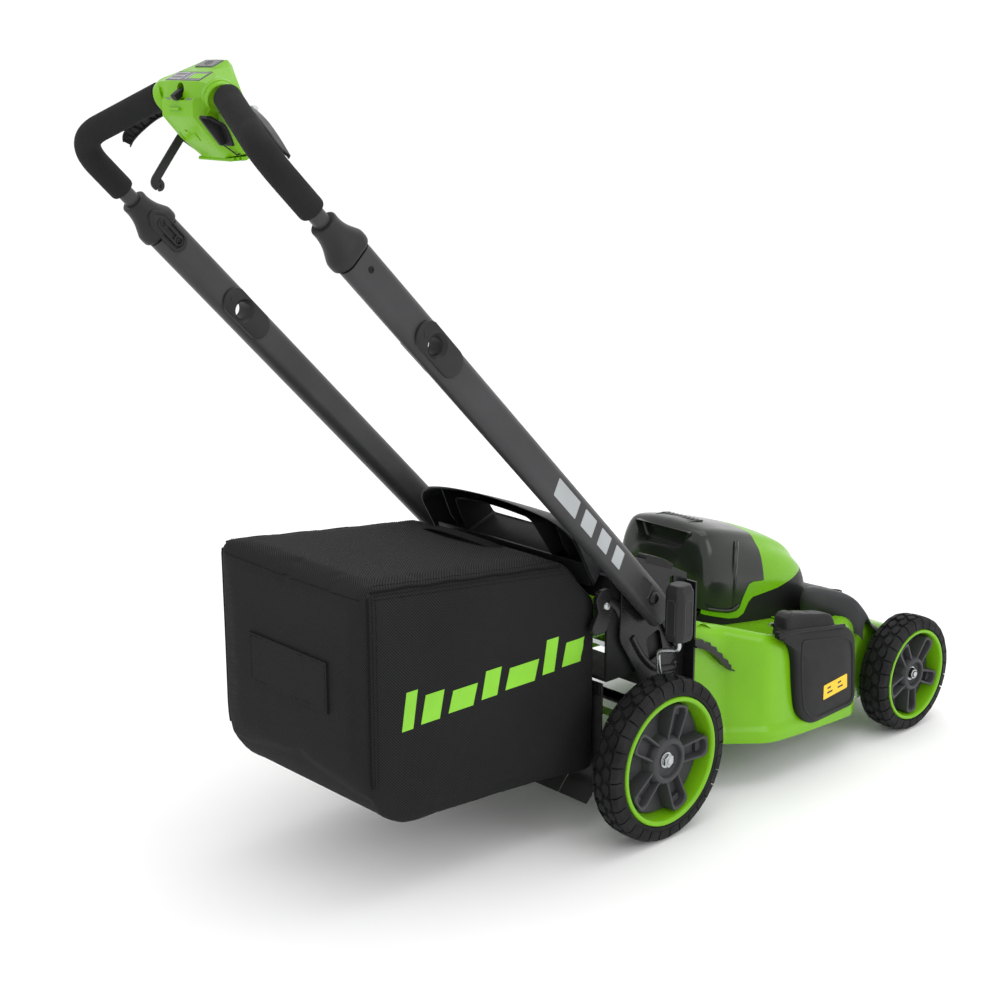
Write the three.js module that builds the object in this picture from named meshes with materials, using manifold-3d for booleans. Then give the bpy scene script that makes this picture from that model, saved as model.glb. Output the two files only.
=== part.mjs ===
// Battery push lawn mower as an assembly of separate bodies. Millimetres, +Z up, +Y forwards, +X to the right.
// Lengths below are in the axle frame (ground point under the rear axle); SHIFT_Y centres the object.
import * as THREE from "three";
import { mergeVertices } from "three/addons/utils/BufferGeometryUtils.js";
import { ConvexGeometry } from "three/addons/geometries/ConvexGeometry.js";
import Module from "manifold-3d";

const wasm = await Module();
wasm.setup();

// Driving dimensions
const SHIFT_Y = -43.2;
const WHEELBASE = 643;
const REAR_R = 127;
const FRONT_R = 102;
const REAR_INNER_X = 235;
const FRONT_INNER_X = 231;
const WHEEL_FACE_X = 286;
const CRANK = [72, 33]; // pivot forward of and above its wheel axle
const REAR_PIVOT = [CRANK[0], REAR_R + CRANK[1]];
const FRONT_PIVOT = [WHEELBASE + CRANK[0], FRONT_R + CRANK[1]];
const LINK_PIN = [-10.6, 22.7]; // link pin from either crank pivot
const FOLD = [16.9, 366]; // handle fold pivot
const HANDLE_ANGLE = 45.3 * Math.PI / 180;
const TUBE_X = 211.2;
const TUBE_W = 51.5;
const TUBE_T = 28.5;
const TUBE_TOP = 772;
const BAR_R = 11;
const FOAM_R = 17.3;
const BOSS_R = 21;
const BAR_ENTRY = [70, -602, 1102];
const BLADE_Y = 395;
const BLADE_R = 245;
const DECK_WALL = 3.5;

const group = new THREE.Group();
group.position.set(0, SHIFT_Y, 0);
const V = (x, y, z) => new THREE.Vector3(x, y, z);

// Materials
const PAINT = {
  green: [0x6ecb1e, 0.35, 0.0], black: [0x17181a, 0.55, 0.0], darkgrey: [0x2b2d30, 0.45, 0.3],
  grey: [0x55585c, 0.5, 0.1], steel: [0xa8abae, 0.3, 0.9], tyre: [0x141416, 0.85, 0.0],
  foam: [0x1b1b1d, 0.95, 0.0], fabric: [0x151516, 0.9, 0.0], smoke: [0x25292a, 0.2, 0.1],
};
function paint(key) {
  const [color, roughness, metalness] = PAINT[key];
  return new THREE.MeshStandardMaterial({ color, roughness, metalness });
}

// Solid helpers
function solid(geometry) {
  const g = geometry.clone();
  g.deleteAttribute("normal");
  g.deleteAttribute("uv");
  const m = mergeVertices(g, 1e-3);
  return new wasm.Manifold(new wasm.Mesh({
    numProp: 3,
    vertProperties: new Float32Array(m.attributes.position.array),
    triVerts: new Uint32Array(m.index.array),
  }));
}
function unite(...solids) {
  return solids.reduce((a, b) => a.add(b));
}
function cut(base, ...tools) {
  return tools.reduce((a, b) => a.subtract(b), base);
}
function geometryOf(manifold) {
  const m = manifold.getMesh();
  const g = new THREE.BufferGeometry();
  g.setAttribute("position", new THREE.BufferAttribute(new Float32Array(m.vertProperties), 3));
  g.setIndex(new THREE.BufferAttribute(new Uint32Array(m.triVerts), 1));
  g.computeVertexNormals();
  return g;
}
function place(name, manifold, key) {
  const mesh = new THREE.Mesh(geometryOf(manifold), paint(key));
  mesh.name = name;
  group.add(mesh);
}
function box(x0, x1, y0, y1, z0, z1) {
  const g = new THREE.BoxGeometry(x1 - x0, y1 - y0, z1 - z0);
  g.translate((x0 + x1) / 2, (y0 + y1) / 2, (z0 + z1) / 2);
  return solid(g);
}
function hull(points) {
  return solid(new ConvexGeometry(points.map((p) => V(...p))));
}
function prism(shapePoints, depth, basis, offset) {
  const shape = new THREE.Shape(shapePoints.map((p) => new THREE.Vector2(p[0], p[1])));
  const g = new THREE.ExtrudeGeometry(shape, { depth, bevelEnabled: false });
  g.translate(0, 0, offset);
  g.applyMatrix4(new THREE.Matrix4().makeBasis(...basis));
  return solid(g);
}
const ALONG_X = [V(0, 1, 0), V(0, 0, 1), V(1, 0, 0)];
const ALONG_Z = [V(1, 0, 0), V(0, 1, 0), V(0, 0, 1)];
function prismX(yz, x0, x1) {
  return prism(yz, x1 - x0, ALONG_X, x0);
}
function prismZ(xy, z0, z1) {
  return prism(xy, z1 - z0, ALONG_Z, z0);
}
function mirrorPlan(half) {
  return [...half, ...half.slice().reverse().filter((p) => p[0] > 0).map(([x, y]) => [-x, y])];
}
function rod(p, q, r, seg = 12) {
  const a = V(...p);
  const d = V(...q).sub(a);
  const g = new THREE.CylinderGeometry(r, r, d.length(), seg);
  g.translate(0, d.length() / 2, 0);
  g.applyQuaternion(new THREE.Quaternion().setFromUnitVectors(V(0, 1, 0), d.normalize()));
  g.translate(a.x, a.y, a.z);
  return solid(g);
}
function rodX(r, x0, x1, y, z, seg = 12) {
  return rod([x0, y, z], [x1, y, z], r, seg);
}
function turnX(profile, y, z, seg) {
  const g = new THREE.LatheGeometry(profile.map(([r, x]) => new THREE.Vector2(r, x)), seg);
  g.rotateZ(-Math.PI / 2);
  g.translate(0, y, z);
  const s = solid(g);
  return s.volume() < 0 ? flipped(g) : s;
}
function flipped(g) {
  const i = g.index.array;
  for (let k = 0; k < i.length; k += 3) [i[k + 1], i[k + 2]] = [i[k + 2], i[k + 1]];
  return solid(g);
}
// A closed skin through equal-length rings of points, capped flat at both ends.
function loft(rings) {
  const n = rings[0].length;
  const positions = rings.flat().flatMap((p) => (p.isVector3 ? p.toArray() : p));
  const index = [];
  for (let k = 0; k + 1 < rings.length; k++)
    for (let i = 0; i < n; i++) {
      const a = k * n + i;
      const b = k * n + ((i + 1) % n);
      index.push(a, b, b + n, a, b + n, a + n);
    }
  const last = (rings.length - 1) * n;
  for (let i = 1; i + 1 < n; i++) {
    index.push(0, i + 1, i);
    index.push(last, last + i, last + i + 1);
  }
  const g = new THREE.BufferGeometry();
  g.setAttribute("position", new THREE.BufferAttribute(new Float32Array(positions), 3));
  g.setIndex(index);
  const s = solid(g);
  return s.volume() < 0 ? flipped(g) : s;
}
// Sweeps a flat section [u, v] along points; u follows the side vector, v is across it.
function sweep(points, section, side) {
  const pts = points.map((p) => V(...p));
  const rings = pts.map((p, i) => {
    const t = V(0, 0, 0);
    if (i > 0) t.add(p.clone().sub(pts[i - 1]).normalize());
    if (i + 1 < pts.length) t.add(pts[i + 1].clone().sub(p).normalize());
    t.normalize();
    const v = V(...side).cross(t).normalize();
    const u = t.clone().cross(v).normalize();
    return section.map(([a, b]) => p.clone().addScaledVector(u, a).addScaledVector(v, b));
  });
  return loft(rings);
}
function circle(r, n) {
  return Array.from({ length: n }, (_, i) => {
    const a = (i + 0.5) * 2 * Math.PI / n;
    return [r * Math.cos(a), r * Math.sin(a)];
  });
}
function stadium(width, thick, n) {
  const r = thick / 2;
  const k = width / 2 - r;
  return Array.from({ length: 2 * n }, (_, i) => {
    const a = Math.PI * (i < n ? i : i - 1) / (n - 1);
    return [r * Math.cos(a), (i < n ? k : -k) + r * Math.sin(a)];
  });
}
// Rounds each inner corner of a polyline with a short arc of chords.
function rounded(points, radius, steps) {
  const out = [points[0]];
  for (let i = 1; i + 1 < points.length; i++) {
    const p = V(...points[i]);
    const a = V(...points[i - 1]).sub(p).setLength(radius).add(p);
    const b = V(...points[i + 1]).sub(p).setLength(radius).add(p);
    const curve = new THREE.QuadraticBezierCurve3(a, p, b);
    for (const q of curve.getPoints(steps)) out.push(q.toArray());
  }
  out.push(points[points.length - 1]);
  return out;
}
// Handle frame: s along the tube from the fold pivot, n across it, x sideways.
function onHandle(x, s, n = 0) {
  const c = Math.cos(HANDLE_ANGLE);
  const k = Math.sin(HANDLE_ANGLE);
  return [x, FOLD[0] - c * s + k * n, FOLD[1] + k * s + c * n];
}
const SIDES = [["right", 1], ["left", -1]];

// Deck shell
const DECK_PLAN = [[0, 743], [200, 743], [216, 720], [216, 560], [226, 545], [262, 505], [262, 265], [217, 205],
  [217, 90], [0, 90]];
function deckBody(t) {
  const plan = DECK_PLAN.map(([x, y]) => [x > 0 ? x - t : 0, y === 743 ? y - t : y === 90 ? y + t : y]);
  const low = t > 0 ? -80 : 0;
  const profile = [[150 + t, 84 + low], [345, 70 + low], [500, 64 + low], [700, 62 + low], [738 - t, 70 + low],
    [743 - t, 110], [741 - t, 156 - t], [728, 172 - t], [640, 175 - t], [560, 195 - t], [441, 216 - t],
    [300, 245 - t], [140, 294 - t], [125 + t, 284 - t], [125 + t, 200], [140 + t, 110]];
  return prismX(profile, -262 + t, 262 - t).intersect(prismZ(mirrorPlan(plan.slice().reverse()), -100, 400));
}
function deck() {
  const chute = box(-150, 150, 100, 170, 108, 278);
  const link = box(-207, -193, 100, 170, 164, 200);
  const sideDoor = prismX([[300, 92], [302, 196], [470, 172], [466, 84]], 240, 280);
  const motor = rod([0, BLADE_Y, 150], [0, BLADE_Y, 300], 82, 24);
  const axle = rodX(9.2, -300, 300, FRONT_PIVOT[0], FRONT_PIVOT[1], 12);
  return cut(deckBody(0), deckBody(DECK_WALL), chute, link, sideDoor, motor, axle);
}

// Discharge chute, open to the deck and to the bag
function rearChute() {
  const outer = [[124.5, 318], [124.5, 168], [80, 190], [38, 238], [-43, 238], [-43, 372], [-28, 397], [-16, 401], [60, 362]];
  const inner = [[140, 300], [140, 166], [82, 195], [40, 243], [-60, 243], [-60, 367], [-42, 367], [-24, 391], [60, 352], [124, 305]];
  return cut(prismX(outer, -188, 188), prismX(inner, -184, 184));
}

// Pressed steel handle bracket with a turned front flange
function bracket(side) {
  const x0 = side > 0 ? 192 : -196;
  const plate = prismX([[-22, 300], [-18, 405], [0, 428], [38, 416], [91, 395], [123, 381], [123, 140],
    [56, 140], [46, 186], [20, 236]], x0, x0 + 4);
  const flange = side > 0 ? box(195, 214, 119.5, 123, 142, 380) : box(-214, -195, 119.5, 123, 142, 380);
  const slot = box(side * 194 - 5, side * 194 + 5, 88, 96, 352, 378);
  const hole = rodX(10, side * 194 - 10, side * 194 + 10, REAR_PIVOT[0], REAR_PIVOT[1], 12);
  const bolt = rodX(5.6, side * 194 - 10, side * 194 + 10, FOLD[0], FOLD[1], 12);
  const link = side < 0 ? box(-230, -197, 110, 130, 160, 205) : box(230, 240, 0, 1, 0, 1);
  return cut(unite(plate, flange), slot, hole, bolt, link);
}
function arcBand(r0, r1, a0, a1, steps) {
  const at = (r, a) => [REAR_PIVOT[0] + r * Math.cos(a), REAR_PIVOT[1] + r * Math.sin(a)];
  const angle = (i) => (a0 + (a1 - a0) * i / steps) * Math.PI / 180;
  const out = [];
  for (let i = 0; i <= steps; i++) out.push(at(r1 + (i % 2 ? 4 : 0), angle(i)));
  for (let i = steps; i >= 0; i -= 2) out.push(at(r0, angle(i)));
  return out.reverse();
}
function quadrant() {
  return prismX(arcBand(122, 134, 24, 62, 14), 217.4, 221.4);
}

// Dark moulding over the front of the deck
function frontCover() {
  const ring = (x, rear, base, crest, front) => [
    [x, rear, base], [x, rear + 14, crest], [x, rear + 80, crest - 16],
    [x, front - 30, crest - 58], [x, front, 173.5], [x, rear + 60, base - 10],
  ];
  const half = [[226, 556, 200, 203, 700], [165, 535, 206, 226, 716], [100, 508, 216, 254, 724]];
  const rings = [];
  for (const [x, r, b, c, f] of half) rings.push(ring(x, r, b, c, f));
  for (const [x, r, b, c, f] of half.slice().reverse()) rings.push(ring(-x, r, b, c, f));
  const under = prismX([[400, 100], [400, 222], [441, 217], [560, 196], [640, 176], [714, 173], [800, 173],
    [800, 100]], -300, 300);
  const nose = prismZ([[-112, 400], [112, 400], [112, 560], [84, 650], [30, 693], [-30, 693], [-84, 650],
    [-112, 560]], 100, 400);
  return cut(loft(rings), under, nose);
}

// Motor hood: black base with side panels, green cowl, smoked lid over the battery
const HOOD = [
  // y, half width at the base, half width at the crest, crest height
  [288, 96, 74, 352], [300, 104, 84, 386], [360, 108, 86, 394], [430, 108, 82, 378], [500, 104, 76, 348],
  [580, 88, 60, 300], [650, 58, 36, 246], [684, 26, 16, 214],
];
function hoodRing([y, base, crest, top], grow, floor) {
  const b = base + grow;
  const c = crest + grow;
  const t = top + grow;
  const mid = floor + 0.55 * (t - floor);
  return [[b, y, floor], [b + 2, y, mid - 20], [b, y, mid + 10], [c, y, t - 14], [c - 16, y, t],
    [-c + 16, y, t], [-c, y, t - 14], [-b, y, mid + 10], [-b - 2, y, mid - 20], [-b, y, floor]];
}
function hoodSolid(grow) {
  return loft(HOOD.map((h, i) => {
    const y = h[0] + (i === 0 ? -grow : i === HOOD.length - 1 ? grow : 0);
    return hoodRing([y, h[1], h[2], h[3]], grow, 150);
  }));
}
const DECK_TOP = [[100, 306.5], [140, 294.5], [300, 245.5], [441, 216.5], [560, 195.5], [640, 175.5], [800, 173]];
function aboveDeck() {
  return prismX([...DECK_TOP, [800, 500], [100, 500]], -200, 200);
}
const SPLIT = [[200, 292], [392, 262], [424, 296], [470, 300], [470, 500], [200, 500]];
const BASE_TOP = [[200, 268], [400, 238], [430, 270], [560, 240], [660, 222], [720, 214]];
function hoodBase() {
  const below = prismX([...BASE_TOP, [720, 100], [200, 100]], -200, 200);
  const well = box(-62, 62, 304, 452, 236, 400);
  const motor = rod([0, BLADE_Y, 100], [0, BLADE_Y, 233], 84, 24);
  const shell = hoodSolid(0).intersect(below).intersect(aboveDeck());
  return cut(shell, hoodSolid(-4).intersect(prismX([[292, 100], [292, 400], [640, 400], [640, 100]], -90, 90)),
    well, motor);
}
function hoodCowl() {
  const above = prismX([...BASE_TOP.map(([y, z]) => [y, z + 0.4]), [720, 500], [200, 500]], -200, 200);
  const lid = prismX(SPLIT, -200, 200);
  const shell = hoodSolid(0).intersect(above);
  const inside = hoodSolid(-3.5).intersect(prismX([[150, 100], [150, 500], [672, 500], [672, 100]], -200, 200));
  return cut(shell, lid, inside);
}
function batteryLid() {
  const zone = prismX(SPLIT.map(([y, z], i) => (i < 4 ? [y - (i > 2 ? 0.4 : 0), z + 0.5] : [y - 0.4, z])), -200, 200);
  const recess = hull([[-42, 270, 338], [42, 270, 338], [-50, 270, 378], [50, 270, 378], [-42, 300, 346],
    [42, 300, 346], [-50, 316, 378], [50, 316, 378]]);
  const inside = hoodSolid(-3).intersect(box(-200, 200, 306, 473, 100, 500));
  return cut(hoodSolid(0).intersect(zone), inside, recess.intersect(box(-60, 60, 200, 302, 300, 400)));
}
function batteryPack() {
  return cut(box(-56, 56, 314, 440, 248, 350), box(-26, 26, 300, 322, 322, 360));
}
function motor() {
  return unite(rod([0, BLADE_Y, 176], [0, BLADE_Y, 231], 78, 20), rod([0, BLADE_Y, 168], [0, BLADE_Y, 177], 40, 20));
}
function controller() {
  return box(-40, 40, 484, 560, 212, 240);
}

// Cutting blade with its boss and bolt, on the motor shaft
function blade() {
  const bar = prismZ([[-BLADE_R, BLADE_Y - 22], [-BLADE_R, BLADE_Y + 28], [-150, BLADE_Y + 28], [150, BLADE_Y + 28],
    [BLADE_R, BLADE_Y + 22], [BLADE_R, BLADE_Y - 28], [150, BLADE_Y - 28], [-150, BLADE_Y - 28]], 92, 96);
  const wing = (s) => hull([[s * 170, BLADE_Y + s * 24, 96], [s * 244, BLADE_Y + s * 24, 96],
    [s * 170, BLADE_Y + s * 46, 112], [s * 244, BLADE_Y + s * 46, 112], [s * 170, BLADE_Y + s * 24, 93],
    [s * 244, BLADE_Y + s * 24, 93], [s * 244, BLADE_Y + s * 44, 110], [s * 170, BLADE_Y + s * 44, 110]]);
  return cut(unite(bar, wing(1), wing(-1)), rod([0, BLADE_Y, 80], [0, BLADE_Y, 110], 9.4, 12));
}
function bladeShaft() {
  return unite(rod([0, BLADE_Y, 88], [0, BLADE_Y, 167.5], 9, 12), rod([0, BLADE_Y, 80], [0, BLADE_Y, 91.5], 16, 6),
    rod([0, BLADE_Y, 96.5], [0, BLADE_Y, 116], 26, 16));
}

// Side discharge door with its raised knob block
function sideDoor() {
  const panel = prismX([[283, 78], [276, 238], [300, 246], [470, 220], [500, 186], [505, 66], [400, 62], [340, 66]],
    263, 270);
  const block = hull([[236, 298, 256], [236, 452, 226], [272, 284, 246], [272, 470, 216], [240, 310, 283],
    [240, 438, 262], [262, 304, 284], [262, 444, 264], [272, 290, 262], [272, 460, 240]]);
  const rim = prismX([[300, 88], [294, 226], [306, 232], [462, 208], [486, 180], [490, 78], [400, 74]], 269, 274);
  const inner = prismX([[312, 98], [307, 216], [314, 220], [456, 197], [475, 174], [478, 90], [400, 86]], 272, 280);
  const above = prismX([[200, 277.5], [300, 246], [441, 217], [560, 197], [560, 500], [200, 500]], 200, 262.6);
  return unite(cut(unite(panel, rim), inner), block.intersect(unite(above, box(262.5, 300, 200, 600, 100, 400))));
}

// Rear door: arched lid with a hand window, leaning open on the bag frame
function onDoor(x, s, n) {
  const a = 48 * Math.PI / 180;
  return [x, -31 - Math.cos(a) * s - Math.sin(a) * n, 408 + Math.sin(a) * s - Math.cos(a) * n];
}
function rearDoor() {
  const arch = (inset, s0, n0, n1) => {
    const line = [[-172, s0], [-172, 88], [-150, 116], [-90, 130], [0, 136], [90, 130], [150, 116], [172, 88],
      [172, s0]].map(([x, s]) => [x - Math.sign(x) * inset, s - (s > s0 ? inset : 0)]);
    return loft([line.map(([x, s]) => onDoor(x, s, n0)), line.map(([x, s]) => onDoor(x, s, n1))]);
  };
  const win = (grow, n0, n1) => {
    const line = [[-96, 66], [-78, 112], [0, 122], [78, 112], [96, 66]]
      .map(([x, s], i) => [x + Math.sign(x) * grow, s + (i === 0 || i === 4 ? -grow : grow)]);
    return loft([line.map(([x, s]) => onDoor(x, s, n0)), line.map(([x, s]) => onDoor(x, s, n1))]);
  };
  const shell = cut(arch(0, 0, 0, 34), arch(3, -6, 3, 60));
  const frame = win(3, 0, 30);
  const hinge = rodX(5, -172, 172, -31, 408, 8);
  return cut(unite(shell, frame, hinge), win(0, -10, 60));
}

// Soft bag, its wire frame and carry handle
function bag() {
  const outer = (x, t) => {
    const pts = [[-46 - t, 90 + t], [-418, 114 + t], [-455, 132 + t], [-478 + t, 168], [-486 + t, 200],
      [-486 + t, 462], [-474 + t, 474 - t], [-118, 436 - t], [-108, 434 - t], [-46 - t, 366 - t]];
    return pts.map(([y, z]) => [x, y, z]);
  };
  const shrink = (pts) => pts.map(([x, y, z]) => [x, -240 + (y + 240) * 0.985, 280 + (z - 280) * 0.975]);
  const skin = loft([shrink(outer(-172, 0)), outer(-164, 0), outer(164, 0), shrink(outer(172, 0))]);
  const room = prismX([[-51, 97], [-416, 121], [-450, 138], [-471, 172], [-480, 202], [-480, 460], [-471, 468],
    [-116, 430], [-51, 362]], -164, 164);
  const mouth = box(-158, 158, -70, 0, 252, 358);
  return cut(skin, room, mouth);
}
function bagFrame() {
  const path = rounded([[-155, -60, 256], [-155, -60, 354], [155, -60, 354], [155, -60, 256], [-150, -60, 256]], 14, 2);
  return sweep(path, circle(3, 6), [0, 1, 0]).intersect(box(-200, 200, -90, 0, 0, 600));
}
function bagHandle() {
  const path = [[-78, -150, 441], [-70, -150, 446], [-40, -150, 456], [40, -150, 456], [70, -150, 446], [78, -150, 441]];
  const below = prismX([[-118, 436.3], [-118, 300], [-474, 300], [-474, 474.3]], -100, 100);
  return cut(sweep(path, [[-11, -1.5], [11, -1.5], [11, 1.5], [-11, 1.5]], [0, 1, 0]), below);
}
function trailingFlap() {
  return prismX([[-42, 232], [-38, 232], [-38, 83], [-70, 45], [-74, 48], [-42, 85]], -180, 180);
}

// Wheels: tyre, coloured rim ring, grey hub
function wheel(tag, side, y, r, inner) {
  const k = r / REAR_R;
  const face = WHEEL_FACE_X;
  const tread = [[101 * k, inner], [101 * k, face - 2.6], [109 * k, face - 0.6], [121 * k, face - 4],
    [r, face - 13], [r, inner + 9], [121 * k, inner + 1], [109 * k, inner - 1], [101 * k, inner]];
  const ring = [[100.5 * k, inner + 1], [100.5 * k, face], [93 * k, face], [88 * k, face - 18],
    [88 * k, inner + 1], [100.5 * k, inner + 1]];
  const hub = [[6.8, inner + 4], [6.8, face - 16], [26 * k, face - 16], [30 * k, face - 8], [36 * k, face - 22],
    [86.6 * k, face - 34], [86.6 * k, inner + 6], [30 * k, inner + 4], [6.8, inner + 4]];
  const flip = (profile) => (side > 0 ? profile : profile.map(([a, x]) => [a, -x]));
  place("tyre_" + tag, turnX(flip(tread), y, r, 24), "tyre");
  place("rim_" + tag, turnX(flip(ring), y, r, 24), "green");
  place("hub_" + tag, turnX(flip(hub), y, r, 16), "grey");
}

// Rear crank carries the driven axle; the height lever turns it about REAR_PIVOT
function crankPlate(x0, x1, pivot, axle, r0, r1) {
  const a = rodX(r0, x0, x1, pivot[0], pivot[1], 12);
  const b = rodX(r1, x0, x1, axle[0], axle[1], 12);
  return a.add(b).hull();
}
function crankFrame(pivot, axle, tube, width, bore) {
  const parts = [rodX(tube, -width, width, pivot[0], pivot[1], 12)];
  for (const s of [1, -1]) {
    const x = [s * (width + 3.5), s * (width - 1.5)].sort((a, b) => a - b);
    parts.push(crankPlate(x[0], x[1], pivot, axle, tube + 5, bore + 6));
  }
  const pin = [pivot[0] + LINK_PIN[0], pivot[1] + LINK_PIN[1]];
  parts.push(crankPlate(-208.5, -203.5, pivot, pin, tube + 3, 6));
  parts.push(rodX(3, -205, -197.2, pin[0], pin[1], 10));
  return parts.reduce((a, b) => a.add(b));
}
function rearCrank() {
  const frame = crankFrame(REAR_PIVOT, [0, REAR_R], 9, 218, 6);
  return cut(frame, rodX(6.7, -240, 240, 0, REAR_R, 12));
}
function axleShaft(y, z, inner, half) {
  const tip = half - inner;
  const parts = [rodX(6, -half + 4, half - 4, y, z, 12), rodX(10.5, half - 13.6, half - 6, y, z, 6),
    rodX(10.5, -half + 6, -half + 13.6, y, z, 6)];
  return tip > 0 ? parts.reduce((a, b) => a.add(b)) : parts[0];
}
function gearbox() {
  const body = unite(rodX(28, -34, 34, 0, REAR_R, 16), box(-26, 26, 8, 50, REAR_R - 18, REAR_R + 18));
  return cut(body, rodX(6.7, -60, 60, 0, REAR_R, 12));
}
const GRIP = [262, 35, 356];
function heightRod() {
  const path = rounded([[226.6, 8, 146], [226.6, -12, 200], [226.6, -17, 303], [238, 20, 288], [GRIP[0], 38, 290],
    [GRIP[0], 37, 304.4]], 6, 2);
  return unite(sweep(path, circle(4.2, 8), [0.3, 1, 0.2]), rodX(14, 222.4, 230.8, 3, 132, 12)
    .subtract(rodX(6.7, 200, 240, 0, REAR_R, 12)));
}
function heightGrip() {
  const z0 = GRIP[2] - 51;
  const ring = (z, w, d) => [[-w, -d + 7], [-w + 7, -d], [w - 7, -d], [w, -d + 7], [w, d - 7], [w - 7, d],
    [-w + 7, d], [-w, d - 7]].map(([x, y]) => [GRIP[0] + x, GRIP[1] + y - (z - GRIP[2]) * 0.04, z]);
  return loft([ring(z0, 19, 18), ring(z0 + 12, 21, 20), ring(z0 + 74, 21, 20), ring(z0 + 80, 23, 22),
    ring(z0 + 92, 22, 21), ring(z0 + 102, 15, 14)]);
}
function frontCrank() {
  const parts = [rodX(8, -214, 214, FRONT_PIVOT[0], FRONT_PIVOT[1], 12)];
  const axle = [WHEELBASE, FRONT_R];
  for (const s of [1, -1]) {
    const x = s > 0 ? [219, 224] : [-224, -219];
    parts.push(rodX(8, s > 0 ? 210 : -222, s > 0 ? 222 : -210, FRONT_PIVOT[0], FRONT_PIVOT[1], 12));
    parts.push(crankPlate(x[0], x[1], FRONT_PIVOT, axle, 12, 11));
    parts.push(rodX(6, s > 0 ? 222 : -282, s > 0 ? 282 : -222, axle[0], axle[1], 12));
    parts.push(rodX(10.5, s > 0 ? 272.4 : -280, s > 0 ? 280 : -272.4, axle[0], axle[1], 6));
  }
  const pin = [FRONT_PIVOT[0] + LINK_PIN[0], FRONT_PIVOT[1] + LINK_PIN[1]];
  parts.push(crankPlate(-200, -195.4, FRONT_PIVOT, pin, 11, 6));
  parts.push(rodX(3, -197, -189.4, pin[0], pin[1], 10));
  return parts.reduce((a, b) => a.add(b));
}
function linkRod() {
  const a = [REAR_PIVOT[0] + LINK_PIN[0], REAR_PIVOT[1] + LINK_PIN[1]];
  const b = [FRONT_PIVOT[0] + LINK_PIN[0], FRONT_PIVOT[1] + LINK_PIN[1]];
  const xa = [-202.6, -198.4];
  const xb = [-194.8, -190.6];
  const eye = (p, x) => rodX(6.5, x[0], x[1], p[0], p[1], 12);
  const bar = hull([[xa[0], a[0] + 2, a[1] - 4], [xa[1], a[0] + 2, a[1] - 4], [xa[0], a[0] + 2, a[1] + 4],
    [xa[1], a[0] + 2, a[1] + 4], [xb[0], b[0] - 2, b[1] - 4], [xb[1], b[0] - 2, b[1] - 4],
    [xb[0], b[0] - 2, b[1] + 4], [xb[1], b[0] - 2, b[1] + 4]]);
  return cut(unite(bar, eye(a, xa), eye(b, xb)), rodX(3.5, -230, -150, a[0], a[1], 12),
    rodX(3.5, -230, -150, b[0], b[1], 12));
}

// Folding handle
function handleTube(side) {
  const x = side * TUBE_X;
  const run = [onHandle(x, -44), onHandle(x, TUBE_TOP)];
  const hollow = [onHandle(x, -60), onHandle(x, TUBE_TOP + 20)];
  const outer = sweep(run, stadium(TUBE_W, TUBE_T, 6), [1, 0, 0]);
  const inner = sweep(hollow, stadium(TUBE_W - 3.6, TUBE_T - 3.6, 6), [1, 0, 0]);
  const bolt = rodX(5.6, x - 30, x + 30, FOLD[0], FOLD[1], 12);
  const h0 = onHandle(x, 600);
  const h1 = onHandle(x, 622);
  const slot = rodX(17.4, x - 30, x + 30, h0[1], h0[2], 12).add(rodX(17.4, x - 30, x + 30, h1[1], h1[2], 12)).hull();
  return cut(outer, inner, bolt, slot);
}
function collar(side) {
  const x = side * TUBE_X;
  const ring = (s, w, t, n = 0) => sweepRing(onHandle(x, s, n), stadium(w, t, 6));
  const outer = loft([ring(752, 60, 37), ring(778, 59, 37), ring(806, 40.5, 34), ring(818, 35, 34), ring(824, 42, 41.6),
    ring(831, 42, 41.6)]);
  const socket = sweep([onHandle(x, 700), onHandle(x, TUBE_TOP + 0.4)], stadium(TUBE_W + 1, TUBE_T + 1, 6), [1, 0, 0]);
  const bore = sweep([onHandle(x, 700), onHandle(x, 860)], circle(BAR_R + 0.7, 12), [1, 0, 0]);
  return cut(outer, socket, bore);
}
function sweepRing(p, section) {
  const c = Math.cos(HANDLE_ANGLE);
  const k = Math.sin(HANDLE_ANGLE);
  return section.map(([a, b]) => [p[0] + a, p[1] + k * b, p[2] + c * b]);
}
function barPath(side, from, to) {
  const path = [onHandle(side * TUBE_X, from), onHandle(side * TUBE_X, 949), [side * to, ...entryAt(to)]];
  return rounded(path, 46, 4);
}
function wholeBar(from) {
  const right = [...barPath(1, from, BAR_ENTRY[0] + 2), [BAR_ENTRY[0] - 3, BAR_ENTRY[1], BAR_ENTRY[2]]];
  const left = right.slice().reverse().map(([x, y, z]) => [-x, y, z]);
  return [...right, ...left];
}
// Point on the inclined part of the bar at sideways distance x
function entryAt(x) {
  const corner = onHandle(TUBE_X, 949);
  const k = (TUBE_X - x) / (TUBE_X - BAR_ENTRY[0]);
  return [corner[1] + k * (BAR_ENTRY[1] - corner[1]), corner[2] + k * (BAR_ENTRY[2] - corner[2])];
}
function upperBar() {
  return sweep(wholeBar(700), circle(BAR_R, 12), [0, 0.3, 1]);
}
function foam(side) {
  const outer = sweep(barPath(side, 853, 78), circle(FOAM_R, 12), [0, 0.3, 1]);
  const bore = sweep(barPath(side, 840, 60), circle(BAR_R + 1.1, 12), [0, 0.3, 1]);
  return cut(outer, bore);
}

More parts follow.
